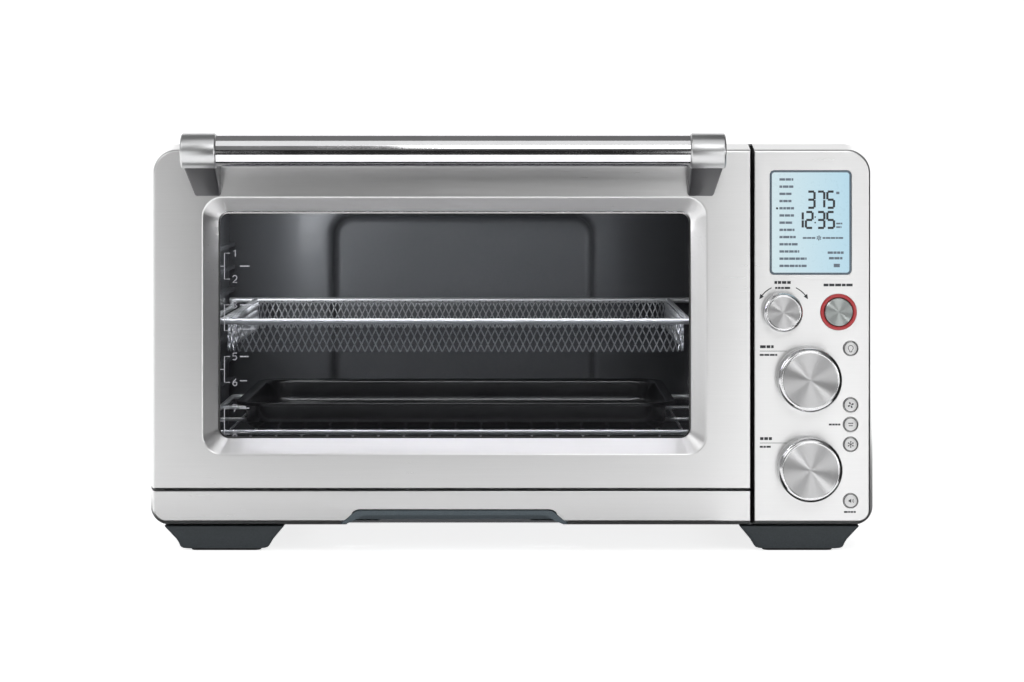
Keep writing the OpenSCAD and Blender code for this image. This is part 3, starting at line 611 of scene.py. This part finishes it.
def make_feet():
    x0, x1, y0, y1, z0, z1 = limits("feet")
    depth = 80 * MM
    width = x1 - 173 * MM
    # Height, inset at the outer side, inset at the inner side, inset at front and back
    levels = [(z1 / MM, 0, 0, 0), (9, 8.8, 9.0, 6.5), (6, 10.4, 11.0, 7.8), (4, 11.1, 12.0, 8.5),
              (2.6, 11.9, 13.2, 9.2), (1.9, 13.0, 14.8, 10.2), (z0 / MM, 15.0, 17.4, 11.5)]
    corners = [(side, front) for side in (-1, 1) for front in (y0, y1 - depth)]
    for index, (side, front) in enumerate(corners, 1):
        outer = x1 if side > 0 else x0
        loops = []
        for z, out, inner, ends in levels:
            a = outer - side * out * MM
            b = outer - side * (width - inner * MM)
            points = round_rect(min(a, b), max(a, b), front + ends * MM, front + depth - ends * MM,
                                [4 * MM] * 4, 6)
            loops.append(lying(points, z * MM))
        bm = bmesh.new()
        bm.faces.new(add_loops(bm, loops, cap=True))
        piece = add_piece("foot_%d" % index, bm, "chassis", "charcoal_plastic",
                          ["feet"] if index == 1 else [], angle=25)
        round_edges(piece, 0.8 * MM, segments=2, angle=35)


def make_tray_pull():
    """The crumb tray's pull: a rim round a recess for the fingers."""
    _, _, y0, y1, _, _ = limits("crumb_tray_handle")
    outer = pull_outline(0)
    low = outer[0][1]
    mouth = [(OVEN_X + (a - OVEN_X) * 0.995, b - 0.3 * MM) for a, b in outer]
    inner = [(OVEN_X + (a - OVEN_X) * 0.945, b - 3.6 * MM if b > low else b) for a, b in outer]
    loops = [standing(points, y) for points, y in (
        (outer, y1), (outer, y0 + 0.8 * MM), (mouth, y0), (inner, y0 + 0.2 * MM), (inner, y0 + 26 * MM))]
    bm = bmesh.new()
    rings = [[bm.verts.new(p) for p in points] for points in loops]
    for ring, after in zip(rings, rings[1:]):
        bridge(bm, ring, after, closed=False)
    bm.faces.new(rings[0])
    bm.faces.new(rings[-1])
    add_piece("tray_pull", bm, "crumb_drawer", "slate_plastic", ["crumb_tray_handle"], outward=(0, 0, 1))


def make_crumb_tray():
    """A shallow tray of folded sheet, joined to its pull by a bent web."""
    x0, x1, _, y1, z0, z1 = limits("crumb_tray")
    floor = (x0, x1, FACE_Y + 47 * MM, y1)
    levels = [(0, z0), (0, z1), (MM, z1), (MM, z0 + 0.8 * MM)]
    bm = bmesh.new()
    bm.faces.new(add_loops(bm, [lying(grown(floor, -inset, 2 * MM - inset, 4), z) for inset, z in levels],
                           cap=True))
    add_piece("tray_sheet", bm, "crumb_drawer", "cavity_coat", ["crumb_tray"])
    # Depth and height round the web's section
    profile = [(36.5, 32.6), (36.5, 24.0), (46.9, 19.0), (46.9, 19.55), (37.4, 24.5), (37.4, 32.6)]
    bm = bmesh.new()
    ends = [[bm.verts.new((OVEN_X + side * 58 * MM, FACE_Y + d * MM, z * MM)) for d, z in profile]
            for side in (-1, 1)]
    bridge(bm, ends[0], ends[1])
    bm.faces.new(ends[0])
    bm.faces.new(ends[1])
    add_piece("tray_web", bm, "crumb_drawer", "cavity_coat")


make_feet()
make_tray_pull()
make_crumb_tray()


# ---- Knobs and start button, in millimetres

def make_knob(node, body, radius, height, face_ratio, gap=0.8):
    """A turned knob: straight side with a fine lower groove, bright bevel and a spun face."""
    c = centre(node)
    r, h = radius, height
    face = r * face_ratio
    side = [(0, gap), (r - 0.9, gap), (r - 0.5, gap), (r - 0.1, gap + 0.5), (r, gap + 1.2), (r, h - 3.2)]
    bevel = [(r - 0.06, h - 2.7), (r - 0.3, h - 2.1), (r - 0.8, h - 1.5), (face + 1.3, h - 0.25),
             (face + 0.7, h - 0.05), (face + 0.35, h), (face, h - 0.1), (face - 0.3, h - 0.35)]
    lathe(node + "_rim", side + bevel, c, body, "spun_metal", [node], "knob_side", 128, 50)
    lathe(node + "_face", [(face - 0.2, h - 0.32), (face * 0.5, h - 0.42), (0, h - 0.47)], c, body,
          "spun_metal", steps=128)


def make_start_button():
    c = centre("start_button")
    r, inner, outer = 10.4, 10.95, 13.7
    lathe("start_cap", [(r - 0.2, -2), (r, -2), (r, 2.6), (r - 0.15, 3.1), (r - 0.6, 3.38), (r * 0.5, 3.2),
                        (0, 3.1)], c, "start_key", "spun_metal", ["start_button"], "start_metal")
    lathe("start_halo", [(outer, -3), (outer, 0.3), (outer - 0.25, 0.75), (outer - 0.7, 0.9),
                         (inner + 0.5, 0.9), (inner + 0.15, 0.75), (inner, 0.4), (inner, -3), (outer, -3)],
          c, "chassis", "red_ring", ["start_ring"])


make_knob("temperature_knob", "temperature_dial", 24.1, 17, 0.86)
make_knob("time_knob", "time_dial", 24.1, 17, 0.86)
make_knob("select_knob", "select_dial", 14.8, 13.6, 0.82, gap=1.6)
make_start_button()


# ---- Print, in millimetres from an origin on the plane at y

def add_stroke(bm, points, width, y, thick, closed=False):
    """A band of constant width along points in X and Z."""
    count = len(points)
    left, right = [], []
    for i, (a, b) in enumerate(points):
        before = points[(i - 1) % count] if closed or i else points[i]
        after = points[(i + 1) % count] if closed or i < count - 1 else points[i]
        da, db = after[0] - before[0], after[1] - before[1]
        size = math.hypot(da, db) or 1
        na, nb = -db / size * width / 2, da / size * width / 2
        left.append((a + na, b + nb))
        right.append((a - na, b - nb))
    for i in range(count if closed else count - 1):
        j = (i + 1) % count
        add_prism(bm, [left[i], left[j], right[j], right[i]], y, thick)


class Ink:
    """A layer of print."""

    def __init__(self, x, z, y, thick):
        self.bm, self.x, self.z, self.y, self.thick = bmesh.new(), x, z, y, thick * MM

    def place(self, points):
        return [(self.x + a * MM, self.z + b * MM) for a, b in points]

    def shape(self, points):
        add_prism(self.bm, self.place(points), self.y, self.thick)

    def stroke(self, points, width, closed=False):
        add_stroke(self.bm, self.place(points), width * MM, self.y, self.thick, closed)

    def word(self, x, z, width, height, seed, gap=0.16):
        """A row of short dashes in place of a word: the print's tone and length with no letters."""
        rng = random.Random(seed)
        half = height * 0.36
        left, end = x, x + width
        while left < end - height * 0.2:
            right = min(left + height * rng.uniform(0.7, 1.9), end)
            if end - right < height * 0.5:
                right = end
            self.shape([(left, z - half), (right, z - half), (right, z + half), (left, z + half)])
            left = right + height * gap

    def finish(self, name, material, body, slot):
        add_piece(name, self.bm, body, slot, material=material, smooth=False)


def polar(radius, degrees):
    return radius * math.cos(math.radians(degrees)), radius * math.sin(math.radians(degrees))


def draw_lamp(layer):
    layer.stroke(arc(0, 0.4, 1.9, -55, 235, 20), 0.45)
    layer.stroke([(-1.0, -1.5), (-0.6, -2.6), (0.6, -2.6), (1.0, -1.5)], 0.6)


def draw_fan(layer, x=0.0, z=0.0, blades=4, scale=1.0):
    blade = [(1.2, -0.55), (2.2, -0.5), (2.5, 0.2), (1.9, 0.75), (1.0, 0.55), (0.3, 0.0)]
    for k in range(blades):
        turn = 2 * math.pi * k / blades + 0.4
        layer.shape([(x + scale * (a * math.cos(turn) - b * math.sin(turn)),
                      z + scale * (a * math.sin(turn) + b * math.cos(turn))) for a, b in blade])


def draw_lines(layer):
    for row, width in ((0.9, 3.6), (-0.9, 3.0)):
        layer.word(-width / 2, row, width, 1.1, seed=7)


def draw_snow(layer):
    for spoke in (30, 90, 150):
        tips = [polar(2.6, spoke + 180), polar(2.6, spoke)]
        layer.stroke(tips, 0.42)
        for (x, z), way in zip(tips, (spoke + 180, spoke)):
            for turn in (45, -45):
                a, b = polar(0.9, way + turn)
                layer.stroke([(x * 0.6, z * 0.6), (x * 0.6 + a, z * 0.6 + b)], 0.35)


def draw_sound(layer):
    layer.shape([(-1.6, -0.7), (-0.7, -0.7), (0.3, -1.7), (0.3, 1.7), (-0.7, 0.7), (-1.6, 0.7)])
    for radius in (1.4, 2.3):
        layer.stroke(arc(0, 0, radius, -40, 40, 8), 0.35)


def make_small_buttons():
    r = 5.5
    cap = [(r - 0.3, -2.5), (r, -2.5), (r, 0.35), (r - 0.12, 0.7), (r - 0.45, 0.88), (r * 0.5, 0.84),
           (0, 0.82)]
    for node, draw in zip(BUTTONS, (draw_lamp, draw_fan, draw_lines, draw_snow, draw_sound)):
        c = centre(node)
        body = node.replace("_button", "_key")
        lathe(node + "_cap", cap, c, body, "button_metal", [node], steps=72)
        layer = Ink(c.x, c.z, FACE_Y - 0.83 * MM, 0.06)
        layer.stroke(circle(0, 0, 4.95, 48), 0.5, closed=True)
        draw(layer)
        layer.finish(node + "_print", "black_ink", body, "black_plastic")


make_small_buttons()


# ---- Display

SCREEN_DEPTH = 0.34
# Lit segments: a to f run clockwise from the top, g is the middle one
SEGMENTS = {"1": "bc", "2": "abged", "3": "abgcd", "5": "afgcd", "7": "abc"}
# Digit, left edge, upper edge and height, from the screen's upper left corner
DIGITS = [("3", 28.9, -16.2, 12.2), ("7", 36.25, -16.2, 12.2), ("5", 43.6, -16.2, 12.2),
          ("1", 20.0, -31.6, 12.0), ("2", 27.4, -31.6, 12.0), ("3", 36.3, -31.6, 12.0),
          ("5", 43.6, -31.6, 12.0)]
# Left end, middle height, width, letter height and seed of each row of dashes, from the same corner
MENU_WIDTHS = [10.5, 10.5, 9.1, 9.1, 11, 11, 9.6, 11.4, 12.3, 13.7, 15, 20.5, 20.5]
SCREEN_WORDS = [(7.4, -7.0 - 5.44 * i, width, 2.5, i) for i, width in enumerate(MENU_WIDTHS)] + [
    (50.3, -17.2, 2.4, 2.6, 21), (50.3, -40.3, 4.6, 1.7, 22), (50.3, -43.0, 4.0, 1.7, 23),
    (25, -51.2, 9.5, 1.9, 24), (40, -51.2, 15.5, 1.9, 25), (43.8, -62.3, 12.1, 2.5, 26),
    (44.8, -66.5, 10.2, 2.5, 27), (48.4, -72.0, 4.6, 3.6, 28)]


def draw_digit(layer, char, x, top, height, width=5.0, stroke=1.7):
    """A seven-segment digit with its upper left corner at x, top."""
    mid, low, right = top - height / 2, top - height, x + width
    gap = stroke * 0.18
    ends = {"a": ((x, top), (right, top)), "g": ((x, mid), (right, mid)), "d": ((x, low), (right, low)),
            "f": ((x, top), (x, mid)), "b": ((right, top), (right, mid)),
            "e": ((x, mid), (x, low)), "c": ((right, mid), (right, low))}
    for key in SEGMENTS[char]:
        (a0, b0), (a1, b1) = ends[key]
        if a0 == a1:
            b0, b1 = b0 - gap, b1 + gap
        else:
            a0, a1 = a0 + gap, a1 - gap
        layer.stroke([(a0, b0), (a1, b1)], stroke)


def make_screen():
    """A dark frame with a rounded edge, and the lit plate a little behind it."""
    # Growth and forward distance from the back of the frame to its inner edge
    edge = [(-0.05, -6.0), (-0.05, -0.1), (-0.15, 0.1), (-0.5, 0.16), (-1.3, 0.1), (-1.7, -0.35)]
    bm = bmesh.new()
    add_loops(bm, [standing(grown(SCREEN, grow * MM, (3.8 + grow) * MM), FACE_Y - forward * MM)
                   for grow, forward in edge])
    add_piece("display_frame", bm, "chassis", "display_glass", ["display"], outward=(0, -1, 0))
    bm = bmesh.new()
    outline = grown(SCREEN, -1.55 * MM, 2.6 * MM)
    face, back = [[bm.verts.new(p) for p in standing(outline, FACE_Y + depth * MM)]
                  for depth in (SCREEN_DEPTH, 2.0)]
    bridge(bm, back, face)
    bm.faces.new(face)
    bm.faces.new(back)
    add_piece("display_screen", bm, "chassis", "display_glass", material="lit_screen")


def make_screen_print():
    corner = (SCREEN[0], SCREEN[3], FACE_Y + SCREEN_DEPTH * MM)
    digits = Ink(*corner, 0.05)
    for char, x, top, height in DIGITS:
        draw_digit(digits, char, x, top, height)
    for z in (-35.4, -39.6):
        digits.shape(circle(34.4, z, 0.6, 12))
    digits.shape(circle(5.6, -28.8, 0.85, 20))
    digits.finish("display_digits", "black_ink", "chassis", "display_glass")
    words = Ink(*corner, 0.05)
    for x, z, width, height, seed in SCREEN_WORDS:
        words.word(x, z, width, height, seed)
    draw_fan(words, 37.2, -51.2, blades=6, scale=0.8)
    words.finish("display_words", "grey_ink", "chassis", "display_glass")


make_screen()
make_screen_print()


# ---- Print on the fascia and the glass

# Left end, middle height, width, letter height and seed of each row of dashes on the fascia
FASCIA_WORDS = [(198.4, 205.7, 12.3, 2.9, 31), (198.9, 201.6, 11.3, 2.1, 32), (235.5, 203.8, 21.9, 2.7, 33),
                (187.5, 157.2, 10.3, 3.0, 157), (187.3, 151.0, 13.2, 2.0, 158),
                (187.5, 87.8, 9.0, 3.0, 87), (187.3, 81.6, 8.3, 2.0, 88),
                (239.5, 98.4, 8.6, 1.9, 41), (250.9, 32.4, 8.9, 1.9, 42)]


def make_fascia_print():
    layer = Ink(0, 0, FACE_Y, 0.04)
    for x, z, width, height, seed in FASCIA_WORDS:
        layer.word(x, z, width, height, seed, gap=0.2)
    for high in (153.7, 84.3):
        layer.shape([(187.3, high), (207.6, high), (207.6, high + 0.35), (187.3, high + 0.35)])
    for side in (-1, 1):
        # A curved arrow on each side of the selector knob
        band = [(205.4 + side * a, 182.8 + b) for a, b in arc(0, 0, 21, 64, 38, 10)]
        head = [(205.4 + side * a, 182.8 + b) for a, b in (polar(21, 29), polar(22.8, 39), polar(19.4, 39))]
        layer.stroke(band, 0.75)
        layer.shape(head[::side])
    layer.finish("fascia_print", "black_ink", "chassis", "black_plastic")


# Strokes of the rack numbers, in a unit square
STROKES = {
    "1": [[(0.2, 0.75), (0.6, 1), (0.6, 0)]],
    "2": [[(0, 0.8), (0.25, 1), (0.75, 1), (1, 0.75), (0.9, 0.5), (0, 0), (1, 0)]],
    "3": [[(0, 0.9), (0.5, 1), (1, 0.8), (0.5, 0.55), (1, 0.3), (0.5, 0), (0, 0.1)]],
    "4": [[(0.75, 0), (0.75, 1), (0, 0.35), (1, 0.35)]],
    "5": [[(1, 1), (0.1, 1), (0.05, 0.55), (0.7, 0.6), (1, 0.3), (0.6, 0), (0, 0.08)]],
    "6": [[(0.8, 1), (0.15, 0.6), (0, 0.25), (0.4, 0), (0.9, 0.1), (1, 0.4), (0.6, 0.58), (0.1, 0.4)]],
    "7": [[(0, 1), (1, 1), (0.35, 0)]],
    "8": [[(0.5, 0.54), (0.1, 0.78), (0.5, 1), (0.9, 0.78), (0.5, 0.54), (0, 0.26), (0.5, 0), (1, 0.26),
           (0.5, 0.54)]],
}


def make_glass_print():
    """Four rack brackets, each with two numbers and rows of dashes."""
    layer = Ink(WINDOW[0] + 4.5 * MM, 0, GLASS_Y - 0.01 * MM, 0.03)
    first, pitch = 227.4, 19.6
    for pair, width in enumerate((7.2, 14.8, 6.5, 7.0)):
        high = first - 2 * pair * pitch
        low = high - pitch
        middle = (high + low) / 2
        layer.stroke([(4.2, high), (0, high), (0, low), (4.2, low)], 0.6)
        layer.stroke([(-3.2, middle), (0, middle)], 0.5)
        for k, z in enumerate((high, low)):
            for stroke in STROKES[str(2 * pair + k + 1)]:
                layer.stroke([(6.3 + 3.2 * a, z - 2.6 + 5.2 * b) for a, b in stroke], 0.6)
        layer.word(11.8, high if pair else middle, width, 1.3, seed=pair)
        if pair:
            layer.word(11.8, low + 1.2, width * 0.8, 1.0, seed=pair + 5)
    layer.finish("glass_print", "white_ink_painted_glow", "door", "window")


def make_glass_border():
    """The thin black line between the door's sheet and the glass."""
    section = [(0.05, 0.3), (1.3, 0.3), (1.3, 0.02), (0.05, 0.02)]  # Inset and distance before the glass
    bm = bmesh.new()
    rings = [[bm.verts.new(p) for p in standing(grown(WINDOW, -inset * MM, (8 - inset) * MM),
                                                GLASS_Y - before * MM)] for inset, before in section]
    for k in range(4):
        bridge(bm, rings[k], rings[(k + 1) % 4])
    add_piece("glass_border", bm, "door", "silicone")


make_fascia_print()
make_glass_border()
make_glass_print()


# ---- Cavity back with its pressed recess

def make_cavity_back():
    x0, x1, y0, _, z0, z1 = limits("cavity_back")
    recess = (OVEN_X - 114.4 * MM, OVEN_X + 114.4 * MM, 54 * MM, 247.3 * MM)
    corner, depth, bend = 18, 17.5, 7
    turns = [math.radians(a) for a in range(0, 91, 15)]
    # Growth and depth from the flat panel, round two bends, to the recess's floor
    profile = [(bend * (1 - math.sin(a)), bend * (1 - math.cos(a))) for a in turns]
    profile += [(-bend * (1 - math.cos(a)), depth - bend * (1 - math.sin(a))) for a in turns]
    bm = bmesh.new()
    loops = [standing(round_rect(x0, x1, z0, z1, [0] * 4), y0)]
    loops += [standing(grown(recess, grow * MM, (corner + grow) * MM), y0 + back * MM)
              for grow, back in profile]
    bm.faces.new(add_loops(bm, loops))
    piece = add_piece("cavity_rear_panel", bm, "chassis", "cavity_coat", ["cavity_back"], outward=(0, -1, 0))
    thicken(piece, 0.9 * MM)


make_cavity_back()


# ---- Pan and mesh basket

def make_pan():
    x0, x1, y0, y1, _, z1 = limits("roasting_pan")
    # Inset from the outer edge and depth below the rim, from the rolled edge to the floor
    profile = [(0.9, 3.2), (0.2, 2.6), (0.0, 1.8), (0.2, 0.7), (0.9, 0.1), (1.8, 0.0), (5.6, 0.6), (6.6, 1.0),
               (7.3, 1.9), (7.7, 3.2), (8.6, 14.5), (9.2, 17.6), (10.6, 19.8), (13.0, 20.7), (16, 20.9)]
    bm = bmesh.new()
    bm.faces.new(add_loops(bm, [lying(grown((x0, x1, y0, y1), -inset * MM, (28 - inset * 0.9) * MM, 14),
                                      z1 - drop * MM) for inset, drop in profile]))
    piece = add_piece("enamel_pan", bm, "pan", "enamel", ["roasting_pan"], outward=(0, 0, 1))
    thicken(piece, 0.9 * MM)


def add_strand(bm, a, b, normal, width, thick):
    """A flat strip from a to b that faces along normal."""
    run = (b - a).normalized()
    side = run.cross(normal).normalized() * width / 2
    up = normal.normalized() * thick / 2
    low = [bm.verts.new(p) for p in (a - side - up, a + side - up, b + side - up, b - side - up)]
    high = [bm.verts.new(p) for p in (a - side + up, a + side + up, b + side + up, b - side + up)]
    bm.faces.new(low[::-1])
    bm.faces.new(high)
    bridge(bm, low, high)


def spaced(outline, pitch):
    """An even number of points, about pitch apart in pairs, round a closed outline."""
    points = [Vector((a, b, 0)) for a, b in outline]
    lengths = [0.0]
    for i, point in enumerate(points):
        lengths.append(lengths[-1] + (points[(i + 1) % len(points)] - point).length)
    columns = round(lengths[-1] / pitch) * 2

    def along(s):
        i = max(k for k in range(len(points)) if lengths[k] <= s + 1e-12)
        step = lengths[i + 1] - lengths[i]
        t = (s - lengths[i]) / step if step > 1e-9 else 0
        return points[i].lerp(points[(i + 1) % len(points)], t)

    return [along(lengths[-1] * k / columns) for k in range(columns)]


def zigzag(i, j, start, step):
    """The two ends of one side of a diamond, in a row of cells."""
    up = (i + j) % 2 == 0
    return start + (j + (0 if up else 1)) * step, start + (j + (1 if up else 0)) * step


BASKET_CORNER = 20 * MM


def make_basket_walls():
    x0, x1, y0, y1, z0, z1 = limits("basket_mesh")
    outline = grown((x0, x1, y0, y1), -MM, BASKET_CORNER, 16)
    base = spaced(outline, 5.4 * MM)
    rows, low, high = 4, z0 + 1.2 * MM, z1 - 0.4 * MM
    bm = bmesh.new()
    for k, here in enumerate(base):
        after = base[(k + 1) % len(base)]
        run = after - here
        for row in range(rows):
            za, zb = zigzag(k, row, low, (high - low) / rows)
            add_strand(bm, here + Vector((0, 0, za)), after + Vector((0, 0, zb)), Vector((run.y, -run.x, 0)),
                       0.95 * MM, 0.5 * MM)
    add_piece("expanded_mesh", bm, "basket", "wire_chrome", ["basket_mesh"], "mesh_metal", smooth=False)


def make_basket_floor():
    x0, x1, y0, y1, z0, _ = limits("basket_mesh")
    low = z0 + 1.2 * MM
    cell_x, cell_y = 2.7 * MM, 6 * MM
    count_x = int((x1 - x0 - 2 * MM) / cell_x)
    count_y = int((y1 - y0 - 2 * MM) / cell_y)
    middle = Vector(((x0 + x1) / 2, (y0 + y1) / 2, 0))
    start_x = middle.x - count_x * cell_x / 2
    start_y = middle.y - count_y * cell_y / 2

    def inside(p):
        dx = abs(p.x - middle.x) - (x1 - x0) / 2 + BASKET_CORNER
        dy = abs(p.y - middle.y) - (y1 - y0) / 2 + BASKET_CORNER
        return dx < 0 or dy < 0 or math.hypot(dx, dy) < BASKET_CORNER - MM

    bm = bmesh.new()
    for i in range(count_x):
        for j in range(count_y):
            ya, yb = zigzag(i, j, start_y, cell_y)
            a = Vector((start_x + i * cell_x, ya, low))
            b = Vector((start_x + (i + 1) * cell_x, yb, low))
            if inside(a) and inside(b):
                add_strand(bm, a, b, Vector((0, 0, 1)), 0.7 * MM, 0.15 * MM)
    # The floor's strands take the darkened metal: painted shade
    add_piece("expanded_floor", bm, "basket", "wire_chrome", material="mesh_painted_shade", smooth=False)


make_pan()
make_basket_walls()
make_basket_floor()


# ---- Floor and light

def make_stage():
    """A pale floor that bends up into a backdrop."""
    size, front, back, bend, high = 14, -7, 2.2, 1.2, 4.5
    outline = [(front, 0), (back, 0)]
    outline += [(back + bend * math.sin(math.radians(a)), bend * (1 - math.cos(math.radians(a))))
                for a in range(10, 91, 10)]
    outline.append((back + bend, high))
    bm = bmesh.new()
    rows = [[bm.verts.new((x, y, z)) for y, z in outline] for x in (-size / 2, size / 2)]
    bridge(bm, rows[0], rows[1], closed=False)
    floor = add_object("floor", to_mesh("floor", bm, outward=(0, 0, 1)))
    tree, shader = new_material("pale_floor")
    colour = shade_mix(tree, ramp(tree, noise(tree, 30), 0, 1), (0.86, 0.86, 0.86), (0.88, 0.88, 0.88))
    fill(tree, shader, {"Base Color": colour, "Roughness": 0.9, "Emission Color": (1, 1, 1, 1),
                        "Emission Strength": 0.8})
    floor.data.materials.append(MAT["pale_floor"])


def area_light(name, location, target, size, power):
    data = bpy.data.lights.new(name, "AREA")
    data.shape = "RECTANGLE"
    data.size, data.size_y = size
    data.energy = power
    light = add_object(name, data)
    light.location = location
    light.rotation_euler = (Vector(target) - Vector(location)).to_track_quat("-Z", "Y").to_euler()
    light.visible_camera = False
    return light


def dark_card(name, corners):
    """A black studio card, there only to be reflected."""
    bm = bmesh.new()
    bm.faces.new([bm.verts.new(p) for p in corners])
    card = add_object(name, to_mesh(name, bm, smooth=False))
    card.data.materials.append(MAT["shadow_gap"])
    card.visible_camera = False
    card.visible_diffuse = False
    card.visible_shadow = False
    card.visible_transmission = False


def make_world():
    """A dim studio, paler to the left."""
    world = bpy.context.scene.world = bpy.data.worlds.new("studio")
    world.use_nodes = True
    tree = world.node_tree
    coord = add_node(tree, "TexCoord")
    split = add_node(tree, "SeparateXYZ", {0: coord.outputs["Generated"]})
    fade = ramp(tree, split.outputs["X"], 0.34, 0.14, start=-0.9, end=0.3)
    fill(tree, tree.nodes["Background"], {"Color": (1, 1, 1, 1), "Strength": fade})


# Name, place, target, size and power
LIGHTS = [("key", (-1.5, -1.5, 1.5), (0, 0, 0.15), (1.6, 1.1), 8),
          ("top", (0.2, -1.35, 1.9), (0.1, -0.2, 0.2), (2.0, 1.4), 7),
          ("front_high", (0.38, -2.4, 1.45), (0.1, 0, 0.3), (1.1, 1.0), 9.5),
          ("low_right", (1.35, -1.5, 0.33), (0, 0.1, 0.2), (0.5, 0.5), 3),
          ("panel_low", (0.44, -1.5, 0.05), (0.24, FACE_Y, 0.03), (0.34, 0.08), 0.16),
          ("inside_left", (-0.215, 0.02, 0.25), (-0.2, 0.17, 0.22), (0.10, 0.08), 0.2),
          ("inside_middle", (OVEN_X, -0.01, 0.262), (OVEN_X, 0.17, 0.19), (0.05, 0.04), 0.012),
          ("inside_front", (OVEN_X, -0.148, 0.265), (OVEN_X, -0.11, 0.17), (0.36, 0.04), 0.7)]
CARD_Y = FACE_Y - 1.28
# Cards that lie just above the floor: name and X and Y limits
LOW_CARDS = [("near_flag", -0.36, 0.16, FACE_Y - 0.075, 0.2), ("foot_flag", 0.16, 0.36, FACE_Y - 0.03, 0.2),
             ("far_flag", -0.37, 0.22, CARD_Y, FACE_Y - 0.6), ("side_floor_flag", 0.36, 2.2, -0.8, 0.6)]


def make_light():
    for row in LIGHTS:
        area_light(*row)
    x0, x1, height = -0.37, 0.22, 0.43
    dark_card("front_flag", standing([(x0, 0), (x1, 0), (x1, height), (x0, height)], CARD_Y))
    for name, x0, x1, y0, y1 in LOW_CARDS:
        dark_card(name, lying([(x0, y0), (x1, y0), (x1, y1), (x0, y1)], MM))
    dark_card("side_flag", [(0.95, -0.62, 0), (0.95, 0.5, 0), (0.95, 0.5, 0.8), (0.95, -0.62, 0.8)])


def make_dial_light():
    """One soft box that lights only the turned faces, so that their grain shows as two bright fans."""
    turned = bpy.data.collections.new("turned_faces")
    for name in ("temperature_knob_face", "time_knob_face", "select_knob_face", "start_cap"):
        turned.objects.link(bpy.data.objects[name])
    light = area_light("dial_key", (-0.75, -1.1, 1.05), (0.2, FACE_Y, 0.1), (0.7, 0.4), 9)
    light.light_linking.receiver_collection = turned


make_stage()
make_world()
make_light()
make_dial_light()
bpy.context.scene.view_settings.view_transform = "Standard"
